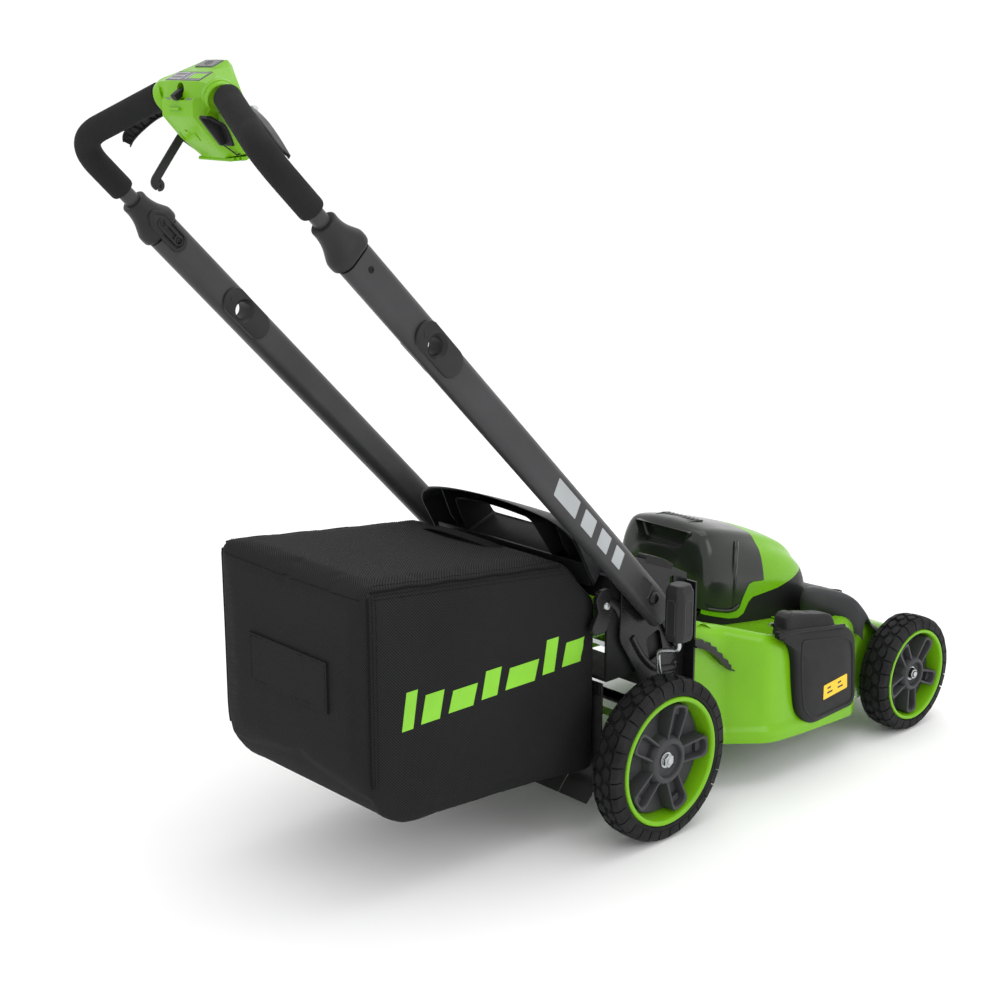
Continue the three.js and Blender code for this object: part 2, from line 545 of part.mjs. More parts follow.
// Finger latch: an eye through the tube joining a plate on each face
const LATCH_S = 602;
function fingerLatch(side) {
  const x = side * TUBE_X;
  const oval = (x0, x1) => {
    const a = onHandle(x, LATCH_S + 9);
    const b = onHandle(x, LATCH_S - 42);
    return rodX(20, x0, x1, a[1], a[2], 14).add(rodX(17, x0, x1, b[1], b[2], 14)).hull();
  };
  const eye = onHandle(x, LATCH_S);
  const out = TUBE_T / 2 + 0.4;
  return cut(unite(oval(x + out, x + out + 3.2), oval(x - out - 3.2, x - out),
    rodX(16.4, x - out - 2, x + out + 2, eye[1], eye[2], 16)), rodX(12.4, x - 40, x + 40, eye[1], eye[2], 16));
}
function pivotBolt(side) {
  const x0 = side * 191;
  const x1 = side * 227;
  const [y, z] = FOLD;
  const head = side > 0 ? rodX(9, 225.9, 230.6, y, z, 12) : rodX(9, -230.6, -225.9, y, z, 12);
  return unite(rodX(5, Math.min(x0, x1), Math.max(x0, x1), y, z, 12), head);
}

// Control console
const CONSOLE = [[-621, 1119], [-619, 1101], [-636, 1094], [-637, 1080], [-602, 1036], [-574, 1024], [-540, 1030],
  [-528, 1062], [-540, 1104], [-566, 1138], [-590, 1142], [-597, 1131]];
function consoleShell() {
  const inner = [[-617, 1116], [-615.5, 1098], [-632, 1091], [-633, 1081.5], [-600, 1040.5], [-573, 1028.5],
    [-546, 1033], [-532, 1062], [-544, 1102], [-568, 1134], [-588, 1138], [-595, 1128]];
  const shell = prismX(CONSOLE, -47, 47);
  const [, by, bz] = BAR_ENTRY;
  const boss = (s) => rod([s * 42, by, bz], [s * 67, by - 4, bz - 4], BOSS_R, 16);
  const room = prismX(inner, -43.5, 43.5);
  const base = box(-38, 38, -575, -500, 1010, 1062);
  const trigger = box(40, 60, -622, -588, 1050, 1076);
  const slider = box(-16, 16, -631, -621, 1085, 1110);
  const button = box(-19, 19, -587, -565, 1130, 1150);
  const bore = sweep(wholeBar(900), circle(BAR_R + 0.9, 12), [0, 0.3, 1]);
  const shaft = rodX(5, -100, 100, BAIL[0], BAIL[1], 10);
  const lever = rodX(5, -100, 0, DRIVE[0], DRIVE[1], 10);
  return cut(unite(shell, boss(1), boss(-1)), room, base, trigger, slider, button, bore, shaft, lever);
}
const BAIL = [-566, 1086];
const DRIVE = [-578, 1064];
const TRIGGER = [-608, 1067];
function consoleNose() {
  return unite(prismX([[-573.5, 1022], [-540, 1027.6], [-527, 1056], [-530.5, 1057.5], [-543, 1031], [-573.5, 1025.4]],
    -37.5, 37.5));
}
function startButton() {
  return box(-18.4, 18.4, -586.4, -565.6, 1134.5, 1144);
}
function speedSlider() {
  return unite(box(-7, 7, -630, -622.4, 1092.5, 1099), hull([[-10, -630, 1098], [10, -630, 1098], [-10, -622.4, 1098],
    [10, -622.4, 1098], [-5, -626, 1112], [5, -626, 1112], [-5, -623, 1112], [5, -623, 1112]]));
}
// Bail: two ribbed paddles in front of the grips on one cross shaft
function bail() {
  const wing = (s) => {
    const rings = [[74, -566, 1084, -583, 1092], [100, -574, 1080, -588, 1088], [150, -586, 1055, -604, 1066],
      [190, -586, 1019, -602, 1029], [200, -580, 1002, -594, 1012]];
    return loft(rings.map(([x, y0, z0, y1, z1]) => {
      const n = V(0, z1 - z0, y0 - y1).setLength(3.2);
      return [[s * x, y0 + n.y, z0 + n.z], [s * x, y1 + n.y, z1 + n.z], [s * x, y1 - n.y, z1 - n.z],
        [s * x, y0 - n.y, z0 - n.z]];
    }));
  };
  return unite(rodX(4.4, -78, 78, BAIL[0], BAIL[1], 10), wing(1), wing(-1));
}
// Long drive lever hanging at the left of the console
function driveLever() {
  const path = [[-53, DRIVE[0], DRIVE[1]], [-58, -586, 1050], [-60, -612, 1018], [-60, -630, 995], [-60, -634, 984],
    [-60, -628, 978]];
  return unite(rodX(4.4, -62, -30, DRIVE[0], DRIVE[1], 10), sweep(path, [[-2.6, -5.5], [2.6, -5.5], [2.6, 5.5],
    [-2.6, 5.5]], [1, 0, 0]));
}
// Thumb trigger in the slot on the right of the console
function thumbTrigger() {
  const side = [[-633, 1077], [-627, 1077], [-611, 1069], [-598, 1070.5], [-590, 1046], [-600, 1043]];
  const edge = [[-604, 1070], [-597, 1070], [-586, 1044], [-600, 1042]];
  return unite(hull([49, 54].flatMap((x) => side.map((p) => [x, ...p]))),
    hull([53, 66].flatMap((x) => edge.map((p) => [x, ...p]))), rodX(4, 38, 54, TRIGGER[0], TRIGGER[1], 10));
}
function displayPanel() {
  return hull([[-40, -619, 1121.3], [40, -619, 1121.3], [-36, -599, 1131.3], [36, -599, 1131.3],
    [-40, -620, 1123.3], [40, -620, 1123.3], [-36, -600, 1133.3], [36, -600, 1133.3]]);
}

// Assembly
place("deck", deck(), "green");
place("rear_chute", rearChute(), "black");
place("front_cover", frontCover(), "darkgrey");
place("hood_base", hoodBase(), "black");
place("hood_cowl", hoodCowl(), "green");
place("battery_lid", batteryLid(), "smoke");
place("battery_pack", batteryPack(), "black");
place("motor", motor(), "steel");
place("controller", controller(), "black");
place("height_quadrant", quadrant(), "black");
place("trailing_flap", trailingFlap(), "black");
place("blade", blade(), "steel");
place("blade_shaft", bladeShaft(), "steel");
place("side_door", sideDoor(), "black");
place("rear_door", rearDoor(), "black");
place("grass_bag", bag(), "fabric");
place("bag_frame", bagFrame(), "steel");
place("bag_handle", bagHandle(), "fabric");
wheel("rear_right", 1, 0, REAR_R, REAR_INNER_X);
wheel("rear_left", -1, 0, REAR_R, REAR_INNER_X);
wheel("front_right", 1, WHEELBASE, FRONT_R, FRONT_INNER_X);
wheel("front_left", -1, WHEELBASE, FRONT_R, FRONT_INNER_X);
place("rear_crank", rearCrank(), "darkgrey");
place("drive_axle", axleShaft(0, REAR_R, REAR_INNER_X, WHEEL_FACE_X), "steel");
place("gearbox", gearbox(), "black");
place("height_rod", heightRod(), "steel");
place("height_grip", heightGrip(), "black");
place("front_crank", frontCrank(), "darkgrey");
place("link_rod", linkRod(), "steel");
for (const [tag, side] of SIDES) {
  place("bracket_" + tag, bracket(side), "black");
  place("tube_" + tag, handleTube(side), "darkgrey");
  place("collar_" + tag, collar(side), "black");
  place("foam_" + tag, foam(side), "foam");
  place("finger_latch_" + tag, fingerLatch(side), "black");
  place("pivot_bolt_" + tag, pivotBolt(side), "steel");
}
place("upper_bar", upperBar(), "darkgrey");
place("console", consoleShell(), "green");
place("console_nose", consoleNose(), "green");
place("display_panel", displayPanel(), "grey");
place("start_button", startButton(), "grey");
place("speed_slider", speedSlider(), "black");
place("bail", bail(), "black");
place("drive_lever", driveLever(), "black");
place("thumb_trigger", thumbTrigger(), "black");

export default group;
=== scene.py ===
"""Battery push lawn mower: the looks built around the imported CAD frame.

Sizes are millimetres in the axle frame (Y = 0 and Z = 0 at the ground point under the rear axle), and
point() turns them into metres in the row frame.
"""

import math
import random

import bmesh
import bpy
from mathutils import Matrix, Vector, noise
from mathutils.bvhtree import BVHTree


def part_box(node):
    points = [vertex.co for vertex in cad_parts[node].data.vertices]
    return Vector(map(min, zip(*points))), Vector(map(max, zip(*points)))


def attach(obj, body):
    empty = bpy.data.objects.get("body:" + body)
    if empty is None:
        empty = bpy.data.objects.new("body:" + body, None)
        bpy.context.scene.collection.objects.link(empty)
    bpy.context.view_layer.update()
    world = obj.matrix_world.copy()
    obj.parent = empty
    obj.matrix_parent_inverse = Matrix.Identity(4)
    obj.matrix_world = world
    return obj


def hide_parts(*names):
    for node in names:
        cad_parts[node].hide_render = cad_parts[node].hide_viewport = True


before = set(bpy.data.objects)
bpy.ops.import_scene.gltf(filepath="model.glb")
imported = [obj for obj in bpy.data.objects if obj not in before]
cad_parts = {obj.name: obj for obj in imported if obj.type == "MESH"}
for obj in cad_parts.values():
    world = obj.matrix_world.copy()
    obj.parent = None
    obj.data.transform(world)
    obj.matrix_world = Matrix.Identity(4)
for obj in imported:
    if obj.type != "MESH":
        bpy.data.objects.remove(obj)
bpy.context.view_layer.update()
MM = 0.001
AXLE_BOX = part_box("drive_axle")
SHIFT_Y = (AXLE_BOX[0].y + AXLE_BOX[1].y) / 2

# Driving sizes, the same as the CAD part's
REAR_R, FRONT_R, WHEELBASE = 127, 102, 643
REAR_INNER, FRONT_INNER, WHEEL_FACE = 235, 231, 286
REAR_PIVOT = (72, 160)
FOLD = (16.9, 366)
TILT = math.radians(45.3)
TUBE_X, TUBE_W, TUBE_T, TUBE_TOP = 211.2, 51.5, 28.5, 772
BAR_R, FOAM_R = 11, 17.3
BAR_ENTRY = (70, -602, 1102)
LATCH_S = 602
SIDES = (("right", 1), ("left", -1))


# Mesh helpers. A part is (points in mm, faces).
def point(p):
    return Vector((p[0] * MM, p[1] * MM + SHIFT_Y, p[2] * MM))


def join(*parts):
    points, faces = [], []
    for more, its_faces in parts:
        start = len(points)
        points += more
        faces += [[i + start for i in f] for f in its_faces]
    return points, faces


def mirrored(part):
    return [(-x, y, z) for x, y, z in part[0]], [f[::-1] for f in part[1]]


def loft(rings, caps=True, closed=True):
    """Skin through rings of equal length."""
    n = len(rings[0])
    points = [tuple(p) for ring in rings for p in ring]
    faces = []
    for k in range(len(rings) - 1):
        for i in range(n if closed else n - 1):
            j = (i + 1) % n
            faces.append([k * n + i, k * n + j, (k + 1) * n + j, (k + 1) * n + i])
    if caps:
        faces.append(list(range(n))[::-1])
        faces.append(list(range((len(rings) - 1) * n, len(rings) * n)))
    return points, faces


def fillet(outline, radius, steps=5, closed=True):
    """Rounds the corners of an outline; radius is one number or one for each corner."""
    n = len(outline)
    out = []
    for i, p in enumerate(outline):
        p = Vector(p)
        r = radius[i] if isinstance(radius, (list, tuple)) else radius
        if r <= 0 or (not closed and i in (0, n - 1)):
            out.append(tuple(p))
            continue
        a, b = Vector(outline[i - 1]), Vector(outline[(i + 1) % n])
        a = p + (a - p).normalized() * min(r, (a - p).length * 0.49)
        b = p + (b - p).normalized() * min(r, (b - p).length * 0.49)
        for k in range(steps + 1):
            t = k / steps
            out.append(tuple(a * (1 - t) ** 2 + p * 2 * t * (1 - t) + b * t * t))
    return out


def curve_through(points, steps=6, closed=False):
    """Catmull-Rom curve through points of any dimension."""
    n = len(points)
    out = []
    for i in range(n if closed else n - 1):
        if closed:
            q = [Vector(points[(i + k) % n]) for k in (-1, 0, 1, 2)]
        else:
            q = [Vector(points[min(max(i + k, 0), n - 1)]) for k in (-1, 0, 1, 2)]
        for k in range(steps):
            t = k / steps
            out.append(tuple(0.5 * (2 * q[1] + (q[2] - q[0]) * t + (2 * q[0] - 5 * q[1] + 4 * q[2] - q[3]) * t * t
                                    + (3 * q[1] - q[0] - 3 * q[2] + q[3]) * t ** 3)))
    if not closed:
        out.append(tuple(points[-1]))
    return out


def smooth_loft(rings, steps=6, caps=True, closed=True):
    """Loft whose stations are joined by smooth curves."""
    tracks = [curve_through([ring[i] for ring in rings], steps) for i in range(len(rings[0]))]
    return loft([[t[k] for t in tracks] for k in range(len(tracks[0]))], caps, closed)


def box(x0, x1, y0, y1, z0, z1):
    return loft([[(x0, y0, z), (x1, y0, z), (x1, y1, z), (x0, y1, z)] for z in (z0, z1)])


def slab_x(yz, x0, x1):
    return loft([[(x, y, z) for y, z in yz] for x in (x0, x1)])


def slab_z(xy, z0, z1):
    return loft([[(x, y, z) for x, y in xy] for z in (z0, z1)])


def circle(r, n=24, ry=None):
    ry = r if ry is None else ry
    return [(r * math.cos(i * math.tau / n), ry * math.sin(i * math.tau / n)) for i in range(n)]


def stadium(width, thick, n=12):
    r, k = thick / 2, (width - thick) / 2
    top = [(r * math.cos(math.pi * i / n), k + r * math.sin(math.pi * i / n)) for i in range(n + 1)]
    return top + [(-a, -b) for a, b in top]


def sweep_rings(path, section, side=(1, 0, 0), scale=None):
    """Rings of a flat section along a path; the section's first axis follows side."""
    path = [Vector(p) for p in path]
    rings = []
    for i, p in enumerate(path):
        t = (path[min(i + 1, len(path) - 1)] - path[max(i - 1, 0)]).normalized()
        v = Vector(side).cross(t).normalized()
        u = t.cross(v).normalized()
        k = scale[i] if scale else 1
        rings.append([tuple(p + u * a * k + v * b * k) for a, b in section])
    return rings


def sweep(path, section, side=(1, 0, 0), scale=None):
    return loft(sweep_rings(path, section, side, scale))


def closed_sweep(loop, section, side):
    n = len(loop)
    rings = []
    for i, p in enumerate(loop):
        t = (Vector(loop[(i + 1) % n]) - Vector(loop[i - 1])).normalized()
        out = t.cross(Vector(side)).normalized()
        rings.append([tuple(Vector(p) + Vector(side) * a + out * b) for a, b in section])
    return loft(rings + [rings[0]], caps=False)


def rod(a, b, r, n=20):
    side = (0, 0, 1) if abs((Vector(b) - Vector(a)).normalized().z) < 0.9 else (1, 0, 0)
    return sweep([a, b], circle(r, n), side)


def rod_x(r, x0, x1, y, z, n=24):
    return rod((x0, y, z), (x1, y, z), r, n)


def turn_x(profile, y, z, n=48, close=True):
    """Turns a closed (radius, x) profile about an axis along X."""
    rings = [[(x, y + r * math.cos(i * math.tau / n), z + r * math.sin(i * math.tau / n)) for r,
              x in profile]
             for i in range(n)]
    m = len(profile)
    points = [p for ring in rings for p in ring]
    faces = [[i * m + k, i * m + (k + 1) % m, ((i + 1) % n) * m + (k + 1) % m, ((i + 1) % n) * m + k]
             for i in range(n) for k in range(m if close else m - 1)]
    return points, faces


def mesh_of(name, part):
    mesh = bpy.data.meshes.new(name)
    mesh.from_pydata([point(p) for p in part[0]], [], part[1])
    bm = bmesh.new()
    bm.from_mesh(mesh)
    bmesh.ops.remove_doubles(bm, verts=bm.verts, dist=2e-6)
    bmesh.ops.dissolve_degenerate(bm, edges=bm.edges, dist=1e-6)
    bmesh.ops.recalc_face_normals(bm, faces=bm.faces)
    bm.to_mesh(mesh)
    bm.free()
    return mesh


def linked(name, mesh):
    obj = bpy.data.objects.new(name, mesh)
    bpy.context.scene.collection.objects.link(obj)
    return obj


def apply_modifiers(obj):
    graph = bpy.context.evaluated_depsgraph_get()
    made = bpy.data.meshes.new_from_object(obj.evaluated_get(graph))
    obj.modifiers.clear()
    obj.data = made


def carve(obj, parts, operation="DIFFERENCE"):
    for part in parts:
        tool = linked("tool", mesh_of("tool", part))
        cut = obj.modifiers.new("cut", "BOOLEAN")
        cut.object, cut.operation, cut.solver = tool, operation, "EXACT"
        apply_modifiers(obj)
        bpy.data.objects.remove(tool)


def bevelled(obj, width, segments=3, angle=28):
    bevel = obj.modifiers.new("bevel", "BEVEL")
    bevel.width, bevel.segments = width * MM, segments
    bevel.limit_method, bevel.angle_limit = "ANGLE", math.radians(angle)
    bevel.use_clamp_overlap = True
    bevel.miter_outer = "MITER_ARC"
    weigh = obj.modifiers.new("normals", "WEIGHTED_NORMAL")
    weigh.keep_sharp = True


def shade(mesh, angle):
    mesh.polygons.foreach_set("use_smooth", [True] * len(mesh.polygons))
    if angle:
        mesh.set_sharp_from_angle(angle=math.radians(angle))


def piece(name, part, look, body, bevel=0, angle=35, cuts=(), adds=(), subdivide=0, replaces=(),
          segments=3):
    """Makes one piece from a part, finishes it and puts it on its body."""
    obj = linked(name, mesh_of(name, part))
    carve(obj, adds, "UNION")
    carve(obj, cuts)
    obj.data.name = name
    shade(obj.data, 0 if bevel or subdivide else angle)
    if subdivide:
        sub = obj.modifiers.new("subdivide", "SUBSURF")
        sub.levels = sub.render_levels = subdivide
    if bevel:
        bevelled(obj, bevel, segments)
    look = LOOKS[look]
    obj.data.materials.clear()
    obj.data.materials.append(look[0])
    for f in obj.data.polygons:
        f.material_index = 0
    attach(obj, body)
    if replaces:
        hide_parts(*replaces)
    return obj


def dress(node, look, bevel=0):
    """Keeps a CAD node and gives it a finish, with softened edges."""
    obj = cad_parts[node]
    obj.data.materials.clear()
    obj.data.materials.append(LOOKS[look][0])
    if bevel:
        bevelled(obj, bevel, 2)


# Materials: colour, roughness and surface relief all vary through noise
class Nodes:
    """Short names for building one node tree."""

    def __init__(self, name):
        self.material = bpy.data.materials.new(name)
        self.material.use_nodes = True
        self.tree = self.material.node_tree
        self.shader = self.tree.nodes["Principled BSDF"]
        self.place = self.add("ShaderNodeTexCoord").outputs["Object"]

    def add(self, kind, **values):
        node = self.tree.nodes.new(kind)
        for key, value in values.items():
            setattr(node, key, value)
        return node

    def link(self, a, b):
        self.tree.links.new(a, b)

    def noise(self, scale, detail=3.0, rough=0.55, vector=None):
        n = self.add("ShaderNodeTexNoise")
        n.inputs["Scale"].default_value = scale
        n.inputs["Detail"].default_value = detail
        n.inputs["Roughness"].default_value = rough
        self.link(vector or self.place, n.inputs["Vector"])
        return n.outputs["Fac"]

    def scaled(self, vector):
        m = self.add("ShaderNodeVectorMath", operation="MULTIPLY")
        m.inputs[1].default_value = vector
        self.link(self.place, m.inputs[0])
        return m.outputs[0]

    def math(self, operation, a, b=None):
        m = self.add("ShaderNodeMath", operation=operation)
        for socket, value in zip(m.inputs, (a, b)):
            if value is None:
                continue
            if isinstance(value, (int, float)):
                socket.default_value = value
            else:
                self.link(value, socket)
        return m.outputs[0]

    def spread(self, value, low, high, start=0.3, end=0.7):
        m = self.add("ShaderNodeMapRange")
        for key, v in (("From Min", start), ("From Max", end), ("To Min", low), ("To Max", high)):
            m.inputs[key].default_value = v
        self.link(value, m.inputs["Value"])
        return m.outputs["Result"]

    def blend(self, fac, dark, light):
        m = self.add("ShaderNodeMix", data_type="RGBA")
        self.link(fac, m.inputs["Factor"])
        m.inputs[6].default_value = (*dark, 1)
        m.inputs[7].default_value = (*light, 1)
        return m.outputs[2]

    def relief(self, height, depth_mm, strength=1.0):
        b = self.add("ShaderNodeBump")
        b.inputs["Distance"].default_value = depth_mm * MM
        b.inputs["Strength"].default_value = strength
        self.link(height, b.inputs["Height"])
        self.link(b.outputs["Normal"], self.shader.inputs["Normal"])

    def set(self, **values):
        for key, v in values.items():
            self.shader.inputs[key.replace("_", " ")].default_value = v


def moulded(name, colour, rough, grain=0.02, grain_scale=900, vary=0.12, metal=0.0, **extra):
    """Paint or moulded plastic: cloudy tone, mottled gloss and a fine surface grain."""
    n = Nodes(name)
    dark = tuple(c * (1 - vary) for c in colour)
    light = tuple(min(1, c * (1 + vary)) for c in colour)
    cloud = n.noise(9, 4)
    n.link(n.blend(n.spread(cloud, 0, 1), dark, light), n.shader.inputs["Base Color"])
    n.link(n.spread(n.noise(60, 5), rough * 0.85, rough * 1.15), n.shader.inputs["Roughness"])
    n.relief(n.noise(grain_scale, 2), grain)
    n.set(Metallic=metal, **extra)
    return n.material


def brushed(name, colour, rough):
    """Zinc plate or bare steel with fine drawn lines and a mottled spangle."""
    n = Nodes(name)
    lines = n.noise(1, 6, 0.7, n.scaled((40, 900, 900)))
    n.link(n.blend(n.spread(n.noise(140, 3), 0, 1), tuple(c * 0.78 for c in colour), colour),
           n.shader.inputs["Base Color"])
    n.link(n.spread(lines, rough * 0.75, rough * 1.35), n.shader.inputs["Roughness"])
    n.relief(lines, 0.02)
    n.set(Metallic=1.0)
    return n.material


def foam_look():
    n = Nodes("grip_foam")
    pores = n.noise(1300, 3, 0.7)
    n.link(n.blend(n.spread(pores, 0, 1), (0.009, 0.009, 0.0095), (0.026, 0.026, 0.027)),
           n.shader.inputs["Base Color"])
    n.link(n.spread(n.noise(40), 0.78, 0.92), n.shader.inputs["Roughness"])
    n.relief(pores, 0.25)
    n.set(Specular_IOR_Level=0.12)
    return n.material


def rubber_look():
    n = Nodes("tyre_rubber")
    n.link(n.blend(n.spread(n.noise(30, 5), 0, 1), (0.0085, 0.0085, 0.009), (0.019, 0.019, 0.02)),
           n.shader.inputs["Base Color"])
    n.link(n.spread(n.noise(90, 5), 0.5, 0.72), n.shader.inputs["Roughness"])
    n.relief(n.noise(700, 3), 0.06)
    n.set(Specular_IOR_Level=0.12)
    return n.material


def twill_look(name, dark, light, pitch_mm, depth):
    """Coated twill: diagonal ribs crossed by the finer weft, with sheen and slow tone changes."""
    n = Nodes(name)
    turns = math.tau / (pitch_mm * MM)
    x, y, z = n.add("ShaderNodeSeparateXYZ"), None, None
    n.link(n.place, x.inputs[0])
    x, y, z = x.outputs
    wobble = n.math("MULTIPLY", n.noise(25, 2), 0.0012)
    warp = n.math("ADD", n.math("ADD", x, y), n.math("ADD", z, wobble))
    weft = n.math("ADD", n.math("SUBTRACT", x, y), n.math("SUBTRACT", z, wobble))
    rib = n.math("SINE", n.math("MULTIPLY", warp, turns))
    pick = n.math("SINE", n.math("MULTIPLY", weft, turns * 1.5))
    height = n.math("ADD", rib, n.math("MULTIPLY", pick, 0.45))
    threads = n.spread(height, 0, 1, -1.3, 1.3)
    tone = n.math("ADD", n.math("MULTIPLY", threads, 0.75), n.math("MULTIPLY", n.noise(7, 4), 0.3))
    n.link(n.blend(tone, dark, light), n.shader.inputs["Base Color"])
    n.link(n.spread(threads, 0.82, 0.6, 0, 1), n.shader.inputs["Roughness"])
    n.relief(threads, depth)
    n.set(Specular_IOR_Level=0.07)
    return n.material


LIME = (0.165, 0.425, 0.006)
LOOKS = {
    "green_paint": (moulded("green_paint", LIME, 0.24, 0.004, 500, 0.08, Coat_Weight=0.15,
                             Coat_Roughness=0.08, Specular_IOR_Level=0.2),
                    "green_paint"),
    "green": (moulded("green_plastic", LIME, 0.3, 0.008, 700, 0.07, Coat_Weight=0.1, Coat_Roughness=0.15,
                       Specular_IOR_Level=0.2),
              "green_plastic"),
    "black": (moulded("black_plastic", (0.013, 0.013, 0.014), 0.4, 0.05, 1100, 0.25,
                      Specular_IOR_Level=0.15), "black_plastic"),
    "charcoal": (moulded("charcoal_plastic", (0.022, 0.022, 0.023), 0.4, 0.05, 1000, 0.2,
                         Specular_IOR_Level=0.18), "black_plastic"),
    "cover": (moulded("cover_plastic", (0.03, 0.031, 0.033), 0.42, 0.05, 900, 0.15,
                      Specular_IOR_Level=0.25), "black_plastic"),
    "smoke": (moulded("smoke_plastic", (0.016, 0.019, 0.016), 0.2, 0.012, 300, 0.3, Coat_Weight=0.2,
                      Coat_Roughness=0.15, Specular_IOR_Level=0.3), "smoke_plastic"),
    "hub": (moulded("hub_plastic", (0.05, 0.05, 0.054), 0.45, 0.05, 900, 0.14, Specular_IOR_Level=0.2),
            "grey_plastic"),
    "grey": (moulded("grey_plastic", (0.17, 0.165, 0.18), 0.5, 0.03, 900, 0.1), "grey_plastic"),
    "tube": (moulded("tube_paint", (0.05, 0.05, 0.052), 0.34, 0.02, 500, 0.14, 0.3, Specular_IOR_Level=0.2),
             "dark_paint"),
    "bracket": (moulded("bracket_paint", (0.011, 0.011, 0.012), 0.28, 0.03, 600, 0.2, 0.1,
                        Specular_IOR_Level=0.3), "black_paint"),
    "zinc": (brushed("zinc_plate", (0.55, 0.57, 0.58), 0.28), "zinc"),
    "tyre": (rubber_look(), "tyre"),
    "foam": (foam_look(), "foam"),
    "flap": (moulded("rubber_sheet", (0.012, 0.012, 0.012), 0.6, 0.08, 400, 0.3), "flap"),
    "bag": (twill_look("bag_twill", (0.0035, 0.0035, 0.0036), (0.027, 0.027, 0.028), 4.4, 0.4),
            "bag_fabric"),
    "webbing": (twill_look("edge_webbing", (0.004, 0.004, 0.004), (0.012, 0.012, 0.012), 1.8, 0.25),
                "bag_fabric"),
    "silver_print": (moulded("silver_print", (0.36, 0.38, 0.39), 0.4, 0.01, 600, 0.1, 0.3), None),
    "green_print": (moulded("green_print", (0.22, 0.58, 0.02), 0.5, 0.02, 800, 0.1), None),
    "yellow_print": (moulded("yellow_print", (0.85, 0.55, 0.01), 0.4, 0.01, 600, 0.06), None),
    "dark_print": (moulded("dark_print", (0.02, 0.02, 0.02), 0.5, 0.01, 600, 0.2), None),
    "pale_print": (moulded("pale_print", (0.5, 0.49, 0.53), 0.45, 0.01, 600, 0.08), None),
    "screen": (moulded("screen", (0.06, 0.06, 0.075), 0.25, 0.01, 500, 0.12), "grey_plastic"),
}


# Places on the folding handle: s along the tube from the fold bolt, n across it
def on_handle(x, s, n=0.0):
    c, k = math.cos(TILT), math.sin(TILT)
    return (x, FOLD[0] - c * s + k * n, FOLD[1] + k * s + c * n)


def bar_entry_at(x):
    corner = on_handle(TUBE_X, 949)
    k = (TUBE_X - x) / (TUBE_X - BAR_ENTRY[0])
    return tuple(corner[i] + k * (BAR_ENTRY[i] - corner[i]) for i in (1, 2))


def bar_path(side, start, end_x, steps=14):
    path = [on_handle(side * TUBE_X, start), on_handle(side * TUBE_X, 949),
            (side * end_x, *bar_entry_at(end_x))]
    return fillet(path, 46, steps, closed=False)


# Wheels: blocked tread, green rim ring, grey five-spoke hub, zinc nut
def tread_block(outline, low, high, draft, wheel):
    """One tread block: outline holds (turn angle, x); its sides slope in towards the top."""
    y, z = wheel
    cx = sum(p[1] for p in outline) / len(outline)
    ca = sum(p[0] for p in outline) / len(outline)
    rings = []
    for r, k in ((low, 1.0), (high - 0.5, 1 - draft * 0.7), (high, 1 - draft)):
        rings.append([(cx + (x - cx) * k, y + (r - crown(x)) * math.cos(ca + (a - ca) * k),
                       z + (r - crown(x)) * math.sin(ca + (a - ca) * k)) for a, x in outline])
    return loft(rings)


TREAD_MID = (REAR_INNER + WHEEL_FACE) / 2


def crown(x):
    return 0.0035 * (x - TREAD_MID) ** 2


def shoulder(a0, a1, x_in, x_out, r, wheel, side):
    """Shoulder block: wraps from the tread over the edge on to the sidewall."""
    y, z = wheel
    lip = 1 if side > 0 else -1
    section = [(x_in, r - 5.5), (x_in + lip, r - crown(x_in)), (x_out - lip * 3, r - 2.6),
               (x_out + lip * 0.4, r - 7),
               (x_out + lip * 1.6, r - 19), (x_out - lip * 2, r - 19)]
    return loft([[(x, y + q * math.cos(a), z + q * math.sin(a)) for x, q in section] for a in (a0, a1)])


def tyre_part(wheel, r, inner):
    y, z = wheel
    count = round(32 * r / REAR_R)
    step = math.tau / count
    face = WHEEL_FACE
    bead = r * 101 / REAR_R
    carcass = [(bead, inner + 1), (bead, face - 2), (bead + 4, face - 0.8), (r - 19, face - 1.2),
               (r - 9, face - 4.6),
               (r - 5.4, face - 9), (r - 5, TREAD_MID), (r - 5.4, inner + 9), (r - 9, inner + 4.6),
               (r - 19, inner + 1.2), (bead + 4, inner + 0.8)]
    parts = [turn_x(fillet(carcass, 2.5, 3), y, z, count * 3)]
    for i in range(count):
        a = i * step
        for x, turn in ((TREAD_MID - 7.4, 0), (TREAD_MID + 7.4, step / 2)):
            w, g = 6.5, step * 0.44
            hexagon = [(a + turn - g, x - w * 0.35), (a + turn - g * 0.35, x - w),
                       (a + turn + g * 0.55, x - w),
                       (a + turn + g, x + w * 0.35), (a + turn + g * 0.35, x + w),
                       (a + turn - g * 0.55, x + w)]
            parts.append(tread_block(hexagon, r - 5.8, r, 0.16, wheel))
        g = step * 0.45
        parts.append(shoulder(a - g + step / 2, a + g + step / 2, TREAD_MID + 15.5, face - 2, r, wheel, 1))
        parts.append(shoulder(a - g, a + g, TREAD_MID - 15.5, inner + 2, r, wheel, -1))
    return join(*parts)


def rim_part(wheel, r, inner):
    y, z = wheel
    k = r / REAR_R
    face = WHEEL_FACE
    ring = [(100.6 * k, inner + 2), (100.6 * k, face - 3), (99 * k, face - 0.3), (95 * k, face - 0.3),
            (92.6 * k, face - 2.5),
            (91.6 * k, face - 7), (88.5 * k, face - 26), (87.5 * k, inner + 2)]
    return turn_x(fillet(ring, 1.2, 3), y, z, 96)


